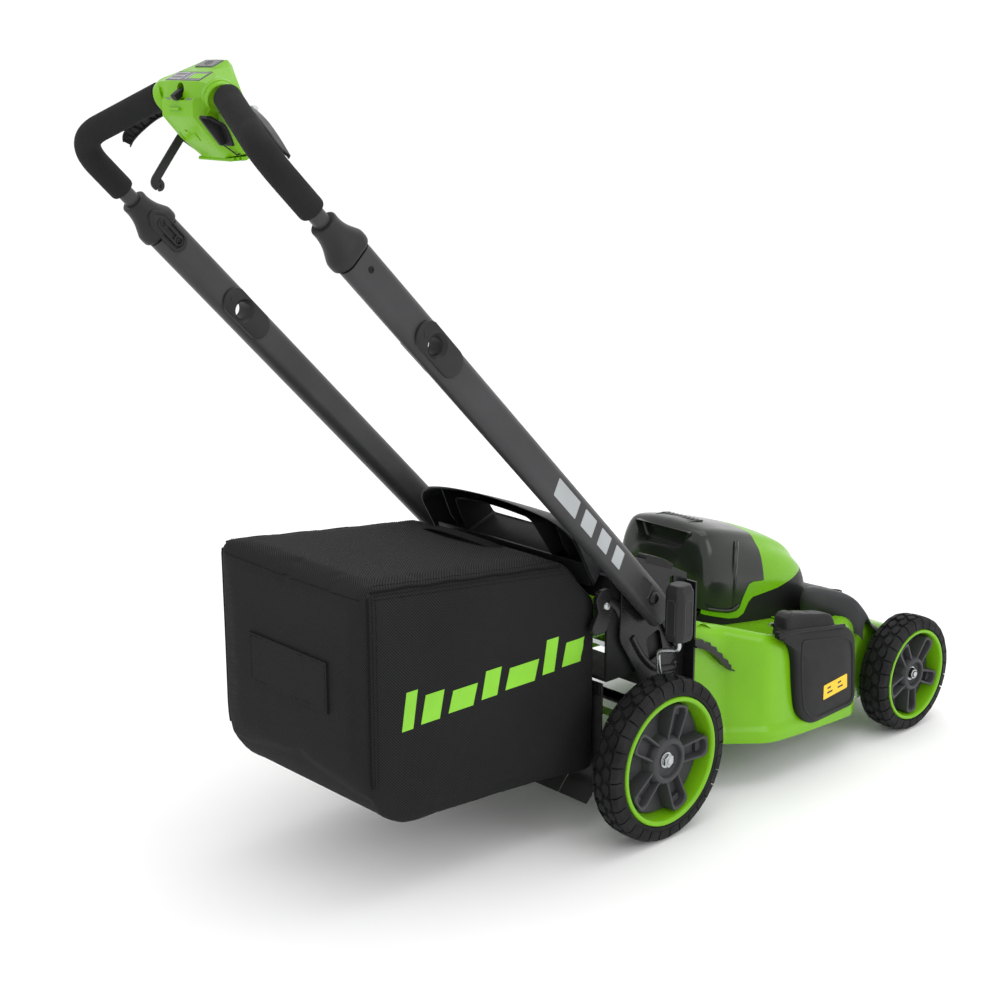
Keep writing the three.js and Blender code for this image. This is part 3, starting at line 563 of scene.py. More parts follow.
def hub_part(wheel, r, inner, turn):
    """Dished web, cup and five pocketed spokes."""
    y, z = wheel
    k = r / REAR_R
    face = WHEEL_FACE
    web = [(7, inner + 5), (7, face - 13), (23 * k, face - 13), (25 * k, face - 11), (26.5 * k, face - 4.5),
           (29 * k, face - 3.5), (34.5 * k, face - 5.5), (38 * k, face - 12), (41 * k, face - 27),
           (60 * k, face - 31),
           (87.2 * k, face - 27), (87.2 * k, inner + 8), (30 * k, inner + 5)]
    parts = [turn_x(fillet(web, 1.5, 3), y, z, 80)]
    for i in range(5):
        a = turn + i * math.tau / 5

        def spoke(inset, x_out, x_in, low=32, high=86.5, wide=17.5):
            line = [(low * k, -wide * 0.8 * k + inset), (high * k - inset, -wide * k + inset),
                    (high * k - inset, wide * k - inset), (low * k, wide * 0.8 * k - inset)]
            line = fillet(line, (0, 11 * k, 11 * k, 0), 6)
            ring = []
            for q, t in line:
                x = x_in + (x_out - x_in) * (q - low * k) / ((high - low) * k)
                ring.append((x, y + q * math.cos(a) - t * math.sin(a),
                             z + q * math.sin(a) + t * math.cos(a)))
            return ring
        parts.append(loft([spoke(-1.6, face - 30, face - 30), spoke(-0.6, face - 6, face - 9),
                           spoke(0.4, face - 4.2, face - 7),
                           spoke(3.2, face - 4.2, face - 7), spoke(4.2, face - 6, face - 9),
                           spoke(5.2, face - 22, face - 19)]))
        step_low, step_high = 70 * k, 81 * k
        corner = [(step_low, -9 * k), (step_high, -9 * k), (step_high, 9 * k), (step_low, 9 * k)]
        place = lambda q, t, x: (x, y + q * math.cos(a) - t * math.sin(a),
                                 z + q * math.sin(a) + t * math.cos(a))
        parts.append(loft([[place(q, t, x) for q, t in corner] for x in (face - 24, face - 15)]))
    return join(*parts)


def nut_part(wheel, body_x):
    """Zinc washer, hexagon nut and the threaded end."""
    y, z = wheel
    washer = turn_x([(6.2, body_x), (12.5, body_x), (12.5, body_x + 1.4), (12, body_x + 1.8),
                     (6.2, body_x + 1.8)], y, z, 40)
    ring = lambda r, x: [(x, y + r * math.cos(i * math.tau / 6),
                          z + r * math.sin(i * math.tau / 6)) for i in range(6)]
    nut = loft([ring(9.2, body_x + 1.8), ring(9.2, body_x + 7), ring(8.4, body_x + 8)])
    end = turn_x([(0.1, body_x + 7), (4.8, body_x + 7), (4.8, body_x + 9.4), (4, body_x + 10.2),
                  (0.1, body_x + 10.2)], y, z, 24)
    return join(washer, nut, end)


def wheels():
    for tag, y, r, inner, turn in (("rear", 0, REAR_R, REAR_INNER, 1.28),
                                   ("front", WHEELBASE, FRONT_R, FRONT_INNER, 0.9)):
        at = (y, r)
        for side, mirror in SIDES:
            name, body = f"{tag}_{side}", f"wheel_{tag}_{side}"
            flip = (lambda p: p) if mirror > 0 else mirrored
            piece("tyre_mesh_" + name, flip(tyre_part(at, r, inner)), "tyre", body, angle=32,
                  replaces=["tyre_" + name])
            piece("rim_ring_" + name, flip(rim_part(at, r, inner)), "green", body, angle=50,
                  replaces=["rim_" + name])
            piece("hub_spokes_" + name, flip(hub_part(at, r, inner, turn)), "hub", body, bevel=0.9,
                  segments=2,
                  replaces=["hub_" + name])
            piece("axle_nut_" + name, flip(nut_part(at, WHEEL_FACE - 12.8)), "zinc",
                  "rear_crank" if tag == "rear" else "front_crank", bevel=0.35, segments=2)
    dress("drive_axle", "zinc", 0.4)
    dress("rear_crank", "bracket", 0.6)
    dress("front_crank", "bracket", 0.6)
    dress("link_rod", "zinc", 0.5)
    dress("gearbox", "black", 1.2)


wheels()


# Folding handle: flat-oval tubes, collars, finger latches, upper bar and foam grips
def screw_part(x, y, z, r=5.2, out=1):
    """Pan-head screw dome on a face that looks along X; its cross recess is cut separately with cross_cuts."""
    dome = [(0.1, x), (r, x), (r, x + out * 0.9), (r * 0.82, x + out * 1.9), (r * 0.45, x + out * 2.4),
            (0.1, x + out * 2.5)]
    return turn_x(dome, y, z, 28)


def cross_cuts(x, y, z, r=5.2, out=1):
    lo, hi = sorted((x + out * 1.0, x + out * 4))
    return [box(lo, hi, y - r * 0.55, y + r * 0.55, z - r * 0.14, z + r * 0.14),
            box(lo, hi, y - r * 0.14, y + r * 0.14, z - r * 0.55, z + r * 0.55)]


def screw(name, x, s_or_y, n_or_z, body, r=5.2, out=1, look="black", on_tube=False):
    y, z = on_handle(x, s_or_y, n_or_z)[1:] if on_tube else (s_or_y, n_or_z)
    return piece(name, screw_part(x, y, z, r, out), look, body, cuts=cross_cuts(x, y, z, r, out), angle=40)


def tube(side_name, side):
    x = side * TUBE_X
    ends = [(-48, 0.93), (-46.5, 0.985), (-44, 1), (TUBE_TOP - 2, 1)]
    path = [on_handle(x, s) for s, _ in ends]
    part = sweep(path, stadium(TUBE_W, TUBE_T, 18), scale=[k for _, k in ends])
    eye = [rod_x(15.2, x - 30, x + 30, *on_handle(x, LATCH_S + s)[1:]) for s in (0, 4.5, 9, 13.5, 18)]
    eye.append(rod_x(8.4, x - 30, x + 30, *FOLD))
    obj = piece(f"handle_tube_{side_name}", part, "tube", "handle", cuts=eye, angle=40,
                replaces=[f"tube_{side_name}"])
    face = x + TUBE_T / 2
    for label, where in (("outer", 1), ("inner", -1)):
        fx = x + where * (TUBE_T / 2)
        dimple = fillet([(44, -10), (44, 12), (14, 14), (8, -8)], 6, 4)
        ring = lambda grow, depth: [on_handle(fx + where * depth, 26 + (s - 26) * grow, n * grow) for s,
                                    n in dimple]
        if label == "outer" and side > 0:
            carve(obj, [loft([ring(1.0, 0.5), ring(0.92, -1.3), ring(0.6, -2.2)])])
            shade(obj.data, 40)
    screw(f"tube_screw_low_{side_name}", face - 0.4, -3.3, 3.4, "handle", 6.2, on_tube=True)
    screw(f"tube_screw_high_{side_name}", face - 0.6, 748, 1.6, "handle", 4.6, on_tube=True)


def collar(side_name, side):
    x = side * TUBE_X
    stations = [(774, 54, 31), (774.6, 57.5, 34.5), (778, 60.5, 37.4), (788, 60, 37.6), (796, 53, 36.6),
                (805, 44.5, 35),
                (814, 39, 34), (822, 36.6, 33.6), (828, 36.4, 34), (831, 36.4, 34), (832.8, 34.6, 33),
                (833, 28, 28)]
    rings = []
    for s, w, t in stations:
        c, k = math.cos(TILT), math.sin(TILT)
        mid = on_handle(x, s)
        blend = min(1, max(0, (s - 788) / 34))
        oval = stadium(w, min(t, w - 0.5), 14)
        round_ = [(t / 2 * math.cos(a),
                   w / 2 * math.sin(a)) for a in (math.atan2(q[1], q[0]) for q in oval)]
        rings.append([(mid[0] + p * (1 - blend) + rp * blend, mid[1] + k * (q * (1 - blend) + rq * blend),
                       mid[2] + c * (q * (1 - blend) + rq * blend)) for (p, q),
                      (rp, rq) in zip(oval, round_)])
    part = smooth_loft(rings, 3)
    bore = sweep([on_handle(x, 826), on_handle(x, 850)], circle(BAR_R + 0.5, 32))
    piece(f"collar_shell_{side_name}", part, "charcoal", "handle", cuts=[bore], angle=42,
          replaces=[f"collar_{side_name}"])
    # strap with two screws and ribs on the face that looks inwards
    out = -side
    fx = x + out * (TUBE_T / 2 + 0.2)
    outline = fillet([(812, -5), (796, -15), (742, -13), (736, 0), (742, 13), (796, 15), (812, 5)], 5, 4)
    at = lambda dx, grow: [on_handle(fx + out * dx, 774 + (s - 774) * grow, n * grow) for s, n in outline]
    strap = loft([at(0, 1), at(4.2, 1), at(5, 0.97), at(5, 0.82), at(2.6, 0.79)])
    piece(f"collar_strap_{side_name}", strap, "charcoal", "handle", angle=35)
    for i, n in enumerate((-5.5, 5.5)):
        rib = sweep([on_handle(fx + out * 2.6, 752, n), on_handle(fx + out * 2.6, 787, n)],
                    [(-1, -2), (3, -1.6), (3, 1.6), (-1, 2)])
        piece(f"collar_rib_{side_name}_{i}", rib, "charcoal", "handle", bevel=0.4, segments=2)
    for i, s in enumerate((787.3, 752.7)):
        y, z = on_handle(x, s, 1)[1:]
        boss = turn_x([(3.6, fx), (8.4, fx), (8, fx + out * 4.6), (7.2, fx + out * 5.4),
                       (5.2, fx + out * 5.4), (4.8, fx + out * 3)], y, z, 32)
        piece(f"collar_boss_{side_name}_{i}", boss, "charcoal", "handle", angle=35)
        screw(f"collar_screw_{side_name}_{i}", fx + out * 2.6, y, z, "handle", 4.4, out, "bracket")


def finger_latch(side_name, side):
    x = side * TUBE_X
    bore = rod_x(12.6, x - 40, x + 40, *on_handle(x, LATCH_S)[1:], 48)
    parts = []
    for out in (1, -1):
        x0 = x + out * (TUBE_T / 2 + 0.3)
        line = [(s, n) for s, n in [(LATCH_S + 40, 0)] + [(LATCH_S + 19 + 21 * math.cos(a),
                                                           21 * math.sin(a)) for a in
                [math.pi * k / 14 for k in range(1, 7)]] + [(LATCH_S - 34 - 20 * math.sin(a),
                        20 * math.cos(a)) for a in
                [math.pi * k / 14 for k in range(0, 15)]] + [(LATCH_S + 19 + 21 * math.cos(a),
                        -21 * math.sin(a)) for a in
                [math.pi * k / 14 for k in range(6, 0, -1)]]]
        mid = LATCH_S - 7
        at = lambda dx, grow: [on_handle(x0 + out * dx, mid + (s - mid) * grow, n * grow) for s, n in line]
        parts.append(loft([at(0, 1), at(2.4, 1), at(3.4, 0.985), at(3.8, 0.95)]))
    parts.append(rod_x(14.6, x - TUBE_T / 2 - 1, x + TUBE_T / 2 + 1, *on_handle(x, LATCH_S)[1:], 48))
    flare = [turn_x([(0.1, x + o * (TUBE_T / 2 + 6)), (19, x + o * (TUBE_T / 2 + 6)),
                     (12.2, x + o * (TUBE_T / 2 - 1)),
                     (0.1, x + o * (TUBE_T / 2 - 1))], *on_handle(x, LATCH_S)[1:], 48) for o in (1, -1)]
    piece(f"latch_plates_{side_name}", parts[0], "charcoal", f"finger_latch_{side_name}", adds=parts[1:],
          cuts=[bore] + flare,
          angle=38, replaces=[f"finger_latch_{side_name}"])
    # raised arrow on the outer plate, two small holes with pins on the inner plate
    x0 = x + TUBE_T / 2 + 4.0
    arrow = [(-1.5, -3), (-1.5, 0), (-6, 0), (1, 9), (8, 0), (3.5, 0), (3.5, -3)]
    part = loft([[on_handle(x0 + dx, LATCH_S + 24 + v * g, (u - 1) * g) for u, v in arrow] for dx,
                 g in ((0, 1), (0.9, 0.9))])
    piece(f"latch_arrow_{side_name}", part, "charcoal", f"finger_latch_{side_name}", bevel=0.2, segments=2)
    for i, s in enumerate((LATCH_S + 27, LATCH_S - 36)):
        y, z = on_handle(x, s)[1:]
        xi = x - TUBE_T / 2 - 4.0
        piece(f"latch_pin_{side_name}_{i}",
              turn_x([(0.1, xi + 0.3), (4.4, xi + 0.3), (4.4, xi - 0.5), (3.2, xi - 0.9), (2.4, xi - 0.2),
              (0.1, xi - 0.2)], y, z, 28), "bracket", f"finger_latch_{side_name}", angle=35)


def upper_handle():
    right = bar_path(1, 700, BAR_ENTRY[0] + 2) + [(BAR_ENTRY[0] - 3, BAR_ENTRY[1], BAR_ENTRY[2])]
    path = right + [(-x, y, z) for x, y, z in reversed(right)]
    piece("bar_tube", sweep(path, circle(BAR_R, 28), (0, 0.3, 1)), "tube", "handle", angle=40,
          replaces=["upper_bar"])
    for name, side in SIDES:
        path = bar_path(side, 853, 74, 18)
        run = []
        for i, p in enumerate(path[:-1]):
            q = Vector(path[i + 1])
            parts = max(1, int((q - Vector(p)).length / 16))
            run += [tuple(Vector(p).lerp(q, k / parts)) for k in range(parts)]
        run.append(path[-1])
        start, ahead = Vector(run[0]), (Vector(run[1]) - Vector(run[0])).normalized()
        ends = [(0, 0.72), (0.3, 0.84), (1.4, 0.94), (3.2, 0.985), (6, 1.0)]
        run = [tuple(start + ahead * d) for d, _ in ends] + run[1:]
        scale = [k for _, k in ends] + [1] * (len(run) - len(ends))
        obj = piece(f"foam_grip_{name}", sweep(run, circle(FOAM_R, 40), (0, 0.3, 1), scale), "foam",
                    "handle", angle=50,
                    replaces=[f"foam_{name}"])


def tube_print():
    """Plain silver bars where the tube carries its printing."""
    x = TUBE_X + TUBE_T / 2 + 0.05
    for i, (s0, s1, n0, n1) in enumerate(((96, 128, -12, 12), (136, 172, -12, 12), (180, 220, -12, 12),
                                          (228, 296, -12, 12))):
        outline = fillet([(s0, n0), (s1 - 8, n0), (s1, n1), (s0 + 8, n1)], 1.5, 3)
        piece(f"tube_stripe_{i}", loft([[on_handle(x + dx, s, n) for s, n in outline] for dx in (-0.3,
                0.12)]), "silver_print", "handle")


for name, side in SIDES:
    tube(name, side)
    collar(name, side)
    finger_latch(name, side)
upper_handle()
tube_print()


# Control console on the upper bar
CONSOLE_STATIONS = (  # half width, then (y, z) round the section
    (0, ((-621, 1119), (-622, 1100), (-627.5, 1096), (-627.5, 1077), (-604, 1047), (-577, 1025),
         (-548, 1027), (-546, 1050),
         (-556, 1100), (-561, 1139), (-567, 1144.5), (-592, 1133))),
    (24, ((-621, 1119), (-622, 1100), (-627.5, 1096), (-627.5, 1077), (-604, 1047), (-577, 1025),
          (-548, 1027), (-546, 1050),
          (-556, 1100), (-561, 1138), (-567, 1144), (-592, 1133))),
    (34, ((-621, 1119), (-622, 1100), (-627.5, 1095.5), (-627.5, 1077), (-602, 1049), (-571, 1028),
          (-548, 1030),
          (-546, 1052), (-556, 1098), (-564, 1128), (-571, 1135), (-596, 1131.5))),
    (46, ((-620, 1118), (-619, 1101), (-616, 1096), (-614, 1080), (-598, 1056), (-562, 1031), (-550, 1035),
          (-547, 1056),
          (-558, 1094), (-567, 1115), (-577, 1124), (-600, 1127.5))),
    (57, ((-618.2, 1116.3), (-622.9, 1106.8), (-622.9, 1096.3), (-617.2, 1085.9), (-605.8, 1080.6),
          (-594.4, 1082.1),
          (-585.9, 1087.8), (-581.1, 1096.3), (-581.1, 1107.7), (-586.8, 1117.2), (-596.3, 1122.9),
          (-608.7, 1122.9))),
)
SLOPE = ((-621, 1119), (-597, 1130.6))
BUTTON = ((-588, 1134.8), (-568, 1144))
SHELF = ((-622, 1100), (-627.5, 1096))
LOWER_FACE = ((-627.5, 1077), (-604, 1047))
BAIL, DRIVE = (-566, 1086), (-578, 1064)


def on_slope(x, t, lift, line=SLOPE):
    """Point on one of the console's sloping faces: t runs along it, lift stands off it."""
    (y0, z0), (y1, z1) = line
    run = math.hypot(y1 - y0, z1 - z0)
    return (x, y0 + (y1 - y0) * t - (z1 - z0) / run * lift, z0 + (z1 - z0) * t + (y1 - y0) / run * lift)


def plate_on(line, outline, low, high, shrink=0.96):
    """Thin plate on a sloping face; outline holds (x, t)."""
    cx = sum(p[0] for p in outline) / len(outline)
    ct = sum(p[1] for p in outline) / len(outline)
    return loft([[on_slope(cx + (x - cx) * k, ct + (t - ct) * k, h, line) for x, t in outline]
                 for h, k in ((low, 1), (high, 1), (high + 0.25, shrink))])


def rect(x0, x1, y0, y1, radius=0.0, steps=4):
    line = [(x0, y0), (x1, y0), (x1, y1), (x0, y1)]
    return fillet(line, radius, steps) if radius else line


def console():
    rings = []
    for w, line in reversed(CONSOLE_STATIONS[1:]):
        rings.append([(-w, y, z) for y, z in line])
    for w, line in CONSOLE_STATIONS:
        rings.append([(w, y, z) for y, z in line])
    display = plate_on(SLOPE, rect(-38, 38, 0.06, 0.95), -1.2, 4)
    pocket = plate_on(SHELF, rect(-13, 13, 0.1, 0.8), -7, 4)
    dish = rod((0, -626, 1110), (0, -613, 1110), 7.5, 32)
    button = plate_on(BUTTON, rect(-20, 20, 0.03, 0.96), -5.2, 6)
    slot = slab_x([(-634, 1073), (-623, 1079), (-588, 1052), (-596, 1037)], 40, 70)
    notch = slab_x([(-636, 1066), (-630, 1073), (-616, 1062), (-622, 1054)], 30, 48)
    vents = [plate_on(LOWER_FACE, rect(x - 1.1, x + 1.1, 0.66, 0.99, 0.02), -1.2, 3) for x in (-21, 13)]
    hole = rod(on_slope(-4, 0.6, -4, LOWER_FACE), on_slope(-4, 0.6, 4, LOWER_FACE), 2.1, 20)
    piece("console_body", loft(rings), "green", "handle", bevel=1.6, segments=3,
          cuts=[display, pocket, dish, button, slot, notch, hole] + vents, replaces=["console"])
    for name, side in SIDES:
        a, b = Vector((side * 54, *BAR_ENTRY[1:])), Vector((side * 68.5, BAR_ENTRY[1] - 4,
                                                            BAR_ENTRY[2] - 5))
        axis = (b - a).normalized()
        stations = [(-3, 21.8), (3, 21.8), (4.4, 21.5), (4.8, 20.8), (5, 20.4), (9.2, 20), (11.4, 19.2),
                    (12, 17.8), (9, 17.6)]
        rings = []
        v = axis.cross(Vector((0, 1, 0))).normalized()
        u = v.cross(axis)
        for d, r in stations:
            c = a + axis * d
            rings.append([tuple(c + u * (r * math.cos(t)) + v * (r * math.sin(t))) for t in
                          [i * math.tau / 48 for i in range(48)]])
        piece(f"console_boss_{name}", loft(rings), "green", "handle", angle=30)
    nose = [(-578, 1021.4), (-550, 1022), (-541, 1030), (-537, 1052), (-541, 1055), (-545, 1034),
            (-551, 1027), (-577, 1026)]
    piece("console_nose_cover", slab_x(fillet(nose, 2.5, 3), -34, 34), "green", "handle", bevel=1.5,
          cuts=[box(x, x + 5, -556, -552, 1015, 1040) for x in (-26, -14, -2, 10, 22)]
          + [box(31, 40, y, y + 3.5, 1015, 1040) for y in (-570, -562)], replaces=["console_nose"])
    seam = [(-603, 1051), (-571, 1030), (-552, 1033), (-549, 1052)]
    for name, side in SIDES:
        line = [(side * 42, y, z) for y, z in seam]
        piece(f"console_seam_{name}", sweep(line, circle(0.9, 8)), "black", "handle", angle=60)


def display():
    piece("display_glass", plate_on(SLOPE, rect(-37.2, 37.2, 0.09, 0.92), -1.3, 0.1), "screen", "handle",
          bevel=0.3,
          replaces=["display_panel"])
    marks = [rect(-33, -8, 0.2, 0.26), rect(-33, -8, 0.5, 0.55), rect(-33, -8, 0.8, 0.85),
             rect(-8.8, -7.6, 0.2, 0.85),
             rect(-33.6, -32.4, 0.2, 0.85), rect(2, 4, 0.2, 0.85)]
    for i, mark in enumerate(marks):
        piece(f"display_line_{i}", plate_on(SLOPE, mark, 0.2, 0.3), "pale_print", "handle")
    for i, (x0, x1) in enumerate(((8, 13.5), (14.8, 20.3), (21.6, 27.1), (28.4, 33.9))):
        piece(f"charge_bar_{i}", plate_on(SLOPE, rect(x0, x1, 0.28, 0.74, 0.06), 0.2, 0.3), "green_print",
              "handle")


def controls():
    piece("start_pad", plate_on(BUTTON, rect(-18.8, 18.8, 0.09, 0.9), -2.4, 1.2), "grey", "start_button",
          bevel=0.6,
          replaces=["start_button"])
    arc = [(5.2 * math.sin(a),
            0.5 - 0.22 * math.cos(a)) for a in [math.radians(d) for d in range(-140, 141, 14)]]
    ring = [on_slope(x, t, 1.4, BUTTON) for x, t in arc]
    piece("power_mark_ring", sweep(ring, [(-0.55, -0.2), (0.55, -0.2), (0.55, 0.2), (-0.55, 0.2)],
                                   (0, 0, 1)), "dark_print",
          "start_button")
    piece("power_mark_bar", plate_on(BUTTON, rect(-0.5, 0.5, 0.5, 0.78), 1.4, 1.5), "dark_print",
          "start_button")
    # speed slider: a finger bar that lies over the shelf
    line = [(0, -613, 1108), (0, -618, 1107.4), (0, -627, 1102.4), (0, -631.6, 1098.8)]
    knob = sweep(curve_through(line, 4), fillet([(-5, -4.2), (5, -4.2), (5, 4.2), (-5, 4.2)], 2, 4))
    piece("slider_knob", knob, "black", "speed_slider", bevel=0.8, replaces=["speed_slider"])
    for name, side in SIDES:
        arrow = [(side * 18, 0.95), (side * 18, 0.12), (side * 30, 0.5)]
        piece(f"speed_arrow_{name}", plate_on(SHELF, arrow, -0.2, 0.1), "grey", "handle")
    piece("shelf_lip", box(-16, 8, -631.5, -627, 1084.5, 1087.5), "green", "handle", bevel=0.8)
    trigger_plate = fillet([(-630, 1077), (-622, 1078), (-609, 1069.5), (-599, 1069), (-590, 1046),
                            (-600, 1041.5)], 3, 4)
    flange = [(-629, 1077.5), (-622, 1076.5), (-611, 1070.5), (-603, 1066.5), (-596, 1054),
              (-591.5, 1042.5)]
    path = [(59, y, z) for y, z in curve_through(flange, 5)]
    part = sweep(path, [(-9, -1.6), (7, -1.6), (8, -0.4), (8, 1.0), (7, 1.7), (-9, 1.7)])
    web = slab_x(trigger_plate, 48.5, 52.5)
    ribs = [sweep([(52, y - 1, z - 1), (65, y - 1, z - 1)],
                  [(-3.4, -0.6), (0, -0.6), (0, 0.6), (-3.4, 0.6)], (0, -0.75, -0.65))
            for y, z in [(path[i][1], path[i][2]) for i in (10, 13, 16, 19, 22)]]
    piece("trigger_blade", web, "charcoal", "thumb_trigger", bevel=0.8, replaces=["thumb_trigger"])
    piece("trigger_flange", part, "black", "thumb_trigger", bevel=0.5)
    for i, rib in enumerate(ribs):
        piece(f"trigger_rib_{i}", rib, "black", "thumb_trigger", bevel=0.2, segments=2)
    bail()
    drive_lever()


BAIL_WING = ((66, -566, 1086, -588, 1096), (86, -571, 1083, -592, 1094), (120, -579, 1071, -600, 1083),
             (150, -585, 1054, -604, 1066), (168, -588, 1041, -604, 1051), (176, -588, 1033, -600, 1041))


def bail():
    """Two paddles on one cross shaft: smooth on the hand's side, ribbed behind."""
    piece("bail_shaft", rod_x(4.3, -78, 78, *BAIL), "zinc", "bail", angle=40, replaces=["bail"])
    for name, side in SIDES:
        stations = curve_through(BAIL_WING, 5)
        rings, spine = [], []
        for x, y0, z0, y1, z1 in stations:
            n = Vector((0, z1 - z0, y0 - y1)).normalized()
            t = (Vector((0, y1 - y0, z1 - z0))).normalized()
            a, b = Vector((side * x, y0, z0)), Vector((side * x, y1, z1))
            rings.append([tuple(a + n * 2.6), tuple(b - t * 2 + n * 2.6), tuple(b + n * 1.0),
                          tuple(b - n * 2.6),
                          tuple(b - t * 2.4 - n * 2.6), tuple(b - t * 2.4 + n * 0.6),
                          tuple(a + t * 2.4 + n * 0.6),
                          tuple(a + t * 2.4 - n * 2.6), tuple(a - n * 2.6)])
            spine.append((a, b, n, t))
        piece(f"bail_paddle_{name}", loft(rings), "black", "bail", bevel=0.5, segments=2)
        for i in range(1, len(spine) - 1, 2):
            (a0, b0, n, t), (a1, b1, _, _) = spine[i], spine[i + 1]
            p, q = (a0 + t * 2, b1 - t * 2) if (i // 2) % 2 else (b0 - t * 2, a1 + t * 2)
            along = (q - p).normalized()
            w = along.cross(n).normalized() * 0.7
            rib = loft([[tuple(e - w + n * 0.8), tuple(e + w + n * 0.8), tuple(e + w - n * 2.3),
                         tuple(e - w - n * 2.3)] for e in (p, q)])
            piece(f"bail_rib_{name}_{i}", rib, "black", "bail")


def drive_lever():
    path = curve_through([(-52, DRIVE[0], DRIVE[1]), (-56, -582, 1056), (-59, -590, 1044),
                          (-60, -606, 1023), (-60, -620, 1005),
                          (-60, -626, 997), (-60, -627, 992), (-60, -623, 988)], 5)
    bar = sweep(path, fillet([(-2.4, -5.6), (2.4, -5.6), (2.4, 5.6), (-2.4, 5.6)], 1.4, 4))
    piece("drive_lever_bar", bar, "charcoal", "drive_lever", bevel=0.5, replaces=["drive_lever"])
    hook = sweep(curve_through([(-60, -621, 996), (-60, -617, 991), (-60, -618, 986), (-60, -622, 985)], 4),
                 circle(3.4, 16))
    piece("drive_lever_foot", hook, "charcoal", "drive_lever", angle=50)
    piece("drive_lever_pin", rod_x(4.3, -57, -30, *DRIVE), "zinc", "drive_lever", angle=40)


console()
display()
controls()


# Deck: pressed shell with rounded shoulders and a flared lip
DECK_PLAN = ((0, 741), (116, 738), (186, 716), (213, 690), (214, 560), (226, 532), (256, 488), (259, 470),
             (259, 290), (256, 262),
             (226, 214), (214, 196), (213, 130), (0, 130))
DECK_TOP = ((130, 297), (140, 294), (300, 245), (441, 226), (520, 218), (580, 200), (640, 178), (690, 160),
            (714, 152),
            (741, 142))
DECK_LOW = ((92, 110), (130, 92), (150, 84), (345, 70), (500, 64), (700, 62), (741, 68))


def along(table, y):
    """Height on a smooth line through (y, z) pairs."""
    for (y0, z0), (y1, z1) in zip(table, table[1:]):
        if y <= y1:
            t = min(1, max(0, (y - y0) / (y1 - y0)))
            return z0 + (z1 - z0) * t
    return table[-1][1]


def offset(line, d):
    """Moves an open outline sideways by d, towards its left."""
    out = []
    for i, p in enumerate(line):
        a, b = Vector(line[max(i - 1, 0)]), Vector(line[min(i + 1, len(line) - 1)])
        t = (b - a).normalized()
        out.append((max(0.0, p[0] - t.y * d), p[1] + t.x * d))
    out[0], out[-1] = (0.0, out[0][1]), (0.0, out[-1][1])
    return out


def deck_outline():
    corners = [0, 30, 30, 22, 16, 22, 14, 8, 8, 14, 22, 16, 6, 0]
    line = fillet([Vector(p) for p in DECK_PLAN], corners, 5, closed=False)
    fine = []
    for a, b in zip(line, line[1:]):
        n = max(1, int((Vector(b) - Vector(a)).length / 14))
        fine += [tuple(Vector(a).lerp(Vector(b), k / n)) for k in range(n)]
    return fine + [line[-1]]


def deck_level(line, d, mix, lift):
    """One ring of the deck skin; mix 0 is at the lip and 1 at the top."""
    out = []
    for x, y in offset(line, d):
        low, top = along(DECK_LOW, y), along(DECK_TOP, y)
        out.append((x, y, low + (top - low) * mix + lift))
    return out


def deck():
    line = deck_outline()
    levels = [(7, 0, 0), (7.6, 0, 3), (7.2, 0, 17), (5.4, 0, 21), (1.2, 0, 26), (0, 0, 31), (-1, 0.4, 0),
              (-2.5, 0.75, 0),
              (-3, 1, -22), (-3.9, 1, -15), (-6.4, 1, -8.5), (-10.5, 1, -3.6), (-16, 1, -0.9), (-22, 1, 0),
              (-34, 1, -1.6), (-48, 1, -7), (-62, 1, -14), (-80, 1, -19)]
    rings = []
    for d, mix, lift in levels:
        half = deck_level(line, d, mix, lift)
        rings.append(half + [(-x, y, z) for x, y, z in reversed(half[1:-1])])
    skin = loft(rings, caps=False)
    top = rings[-1]
    n = len(line)
    across = 8
    points = []
    for i in range(n):
        x, y, z = top[i]
        points.append([(x * (1 - 2 * k / across), y, z) for k in range(across + 1)])
    cap = loft(points, caps=False, closed=False)
    obj = piece("deck_shell", join(skin, cap), "green_paint", "chassis", angle=50, replaces=["deck"])
    thick = obj.modifiers.new("thickness", "SOLIDIFY")
    thick.thickness, thick.offset = 2.5 * MM, -1
    chute = box(-150, 150, 60, 195, 108, 246)
    dome = rod((0, 395, 150), (0, 395, 300), 82, 48)
    apply_modifiers(obj)
    obj_carve(obj, [chute, dome], "green_paint", 45)


def obj_carve(obj, parts, look, angle):
    carve(obj, parts)
    shade(obj.data, angle)
    obj.data.materials.clear()
    obj.data.materials.append(LOOKS[look][0])
    for f in obj.data.polygons:
        f.material_index = 0


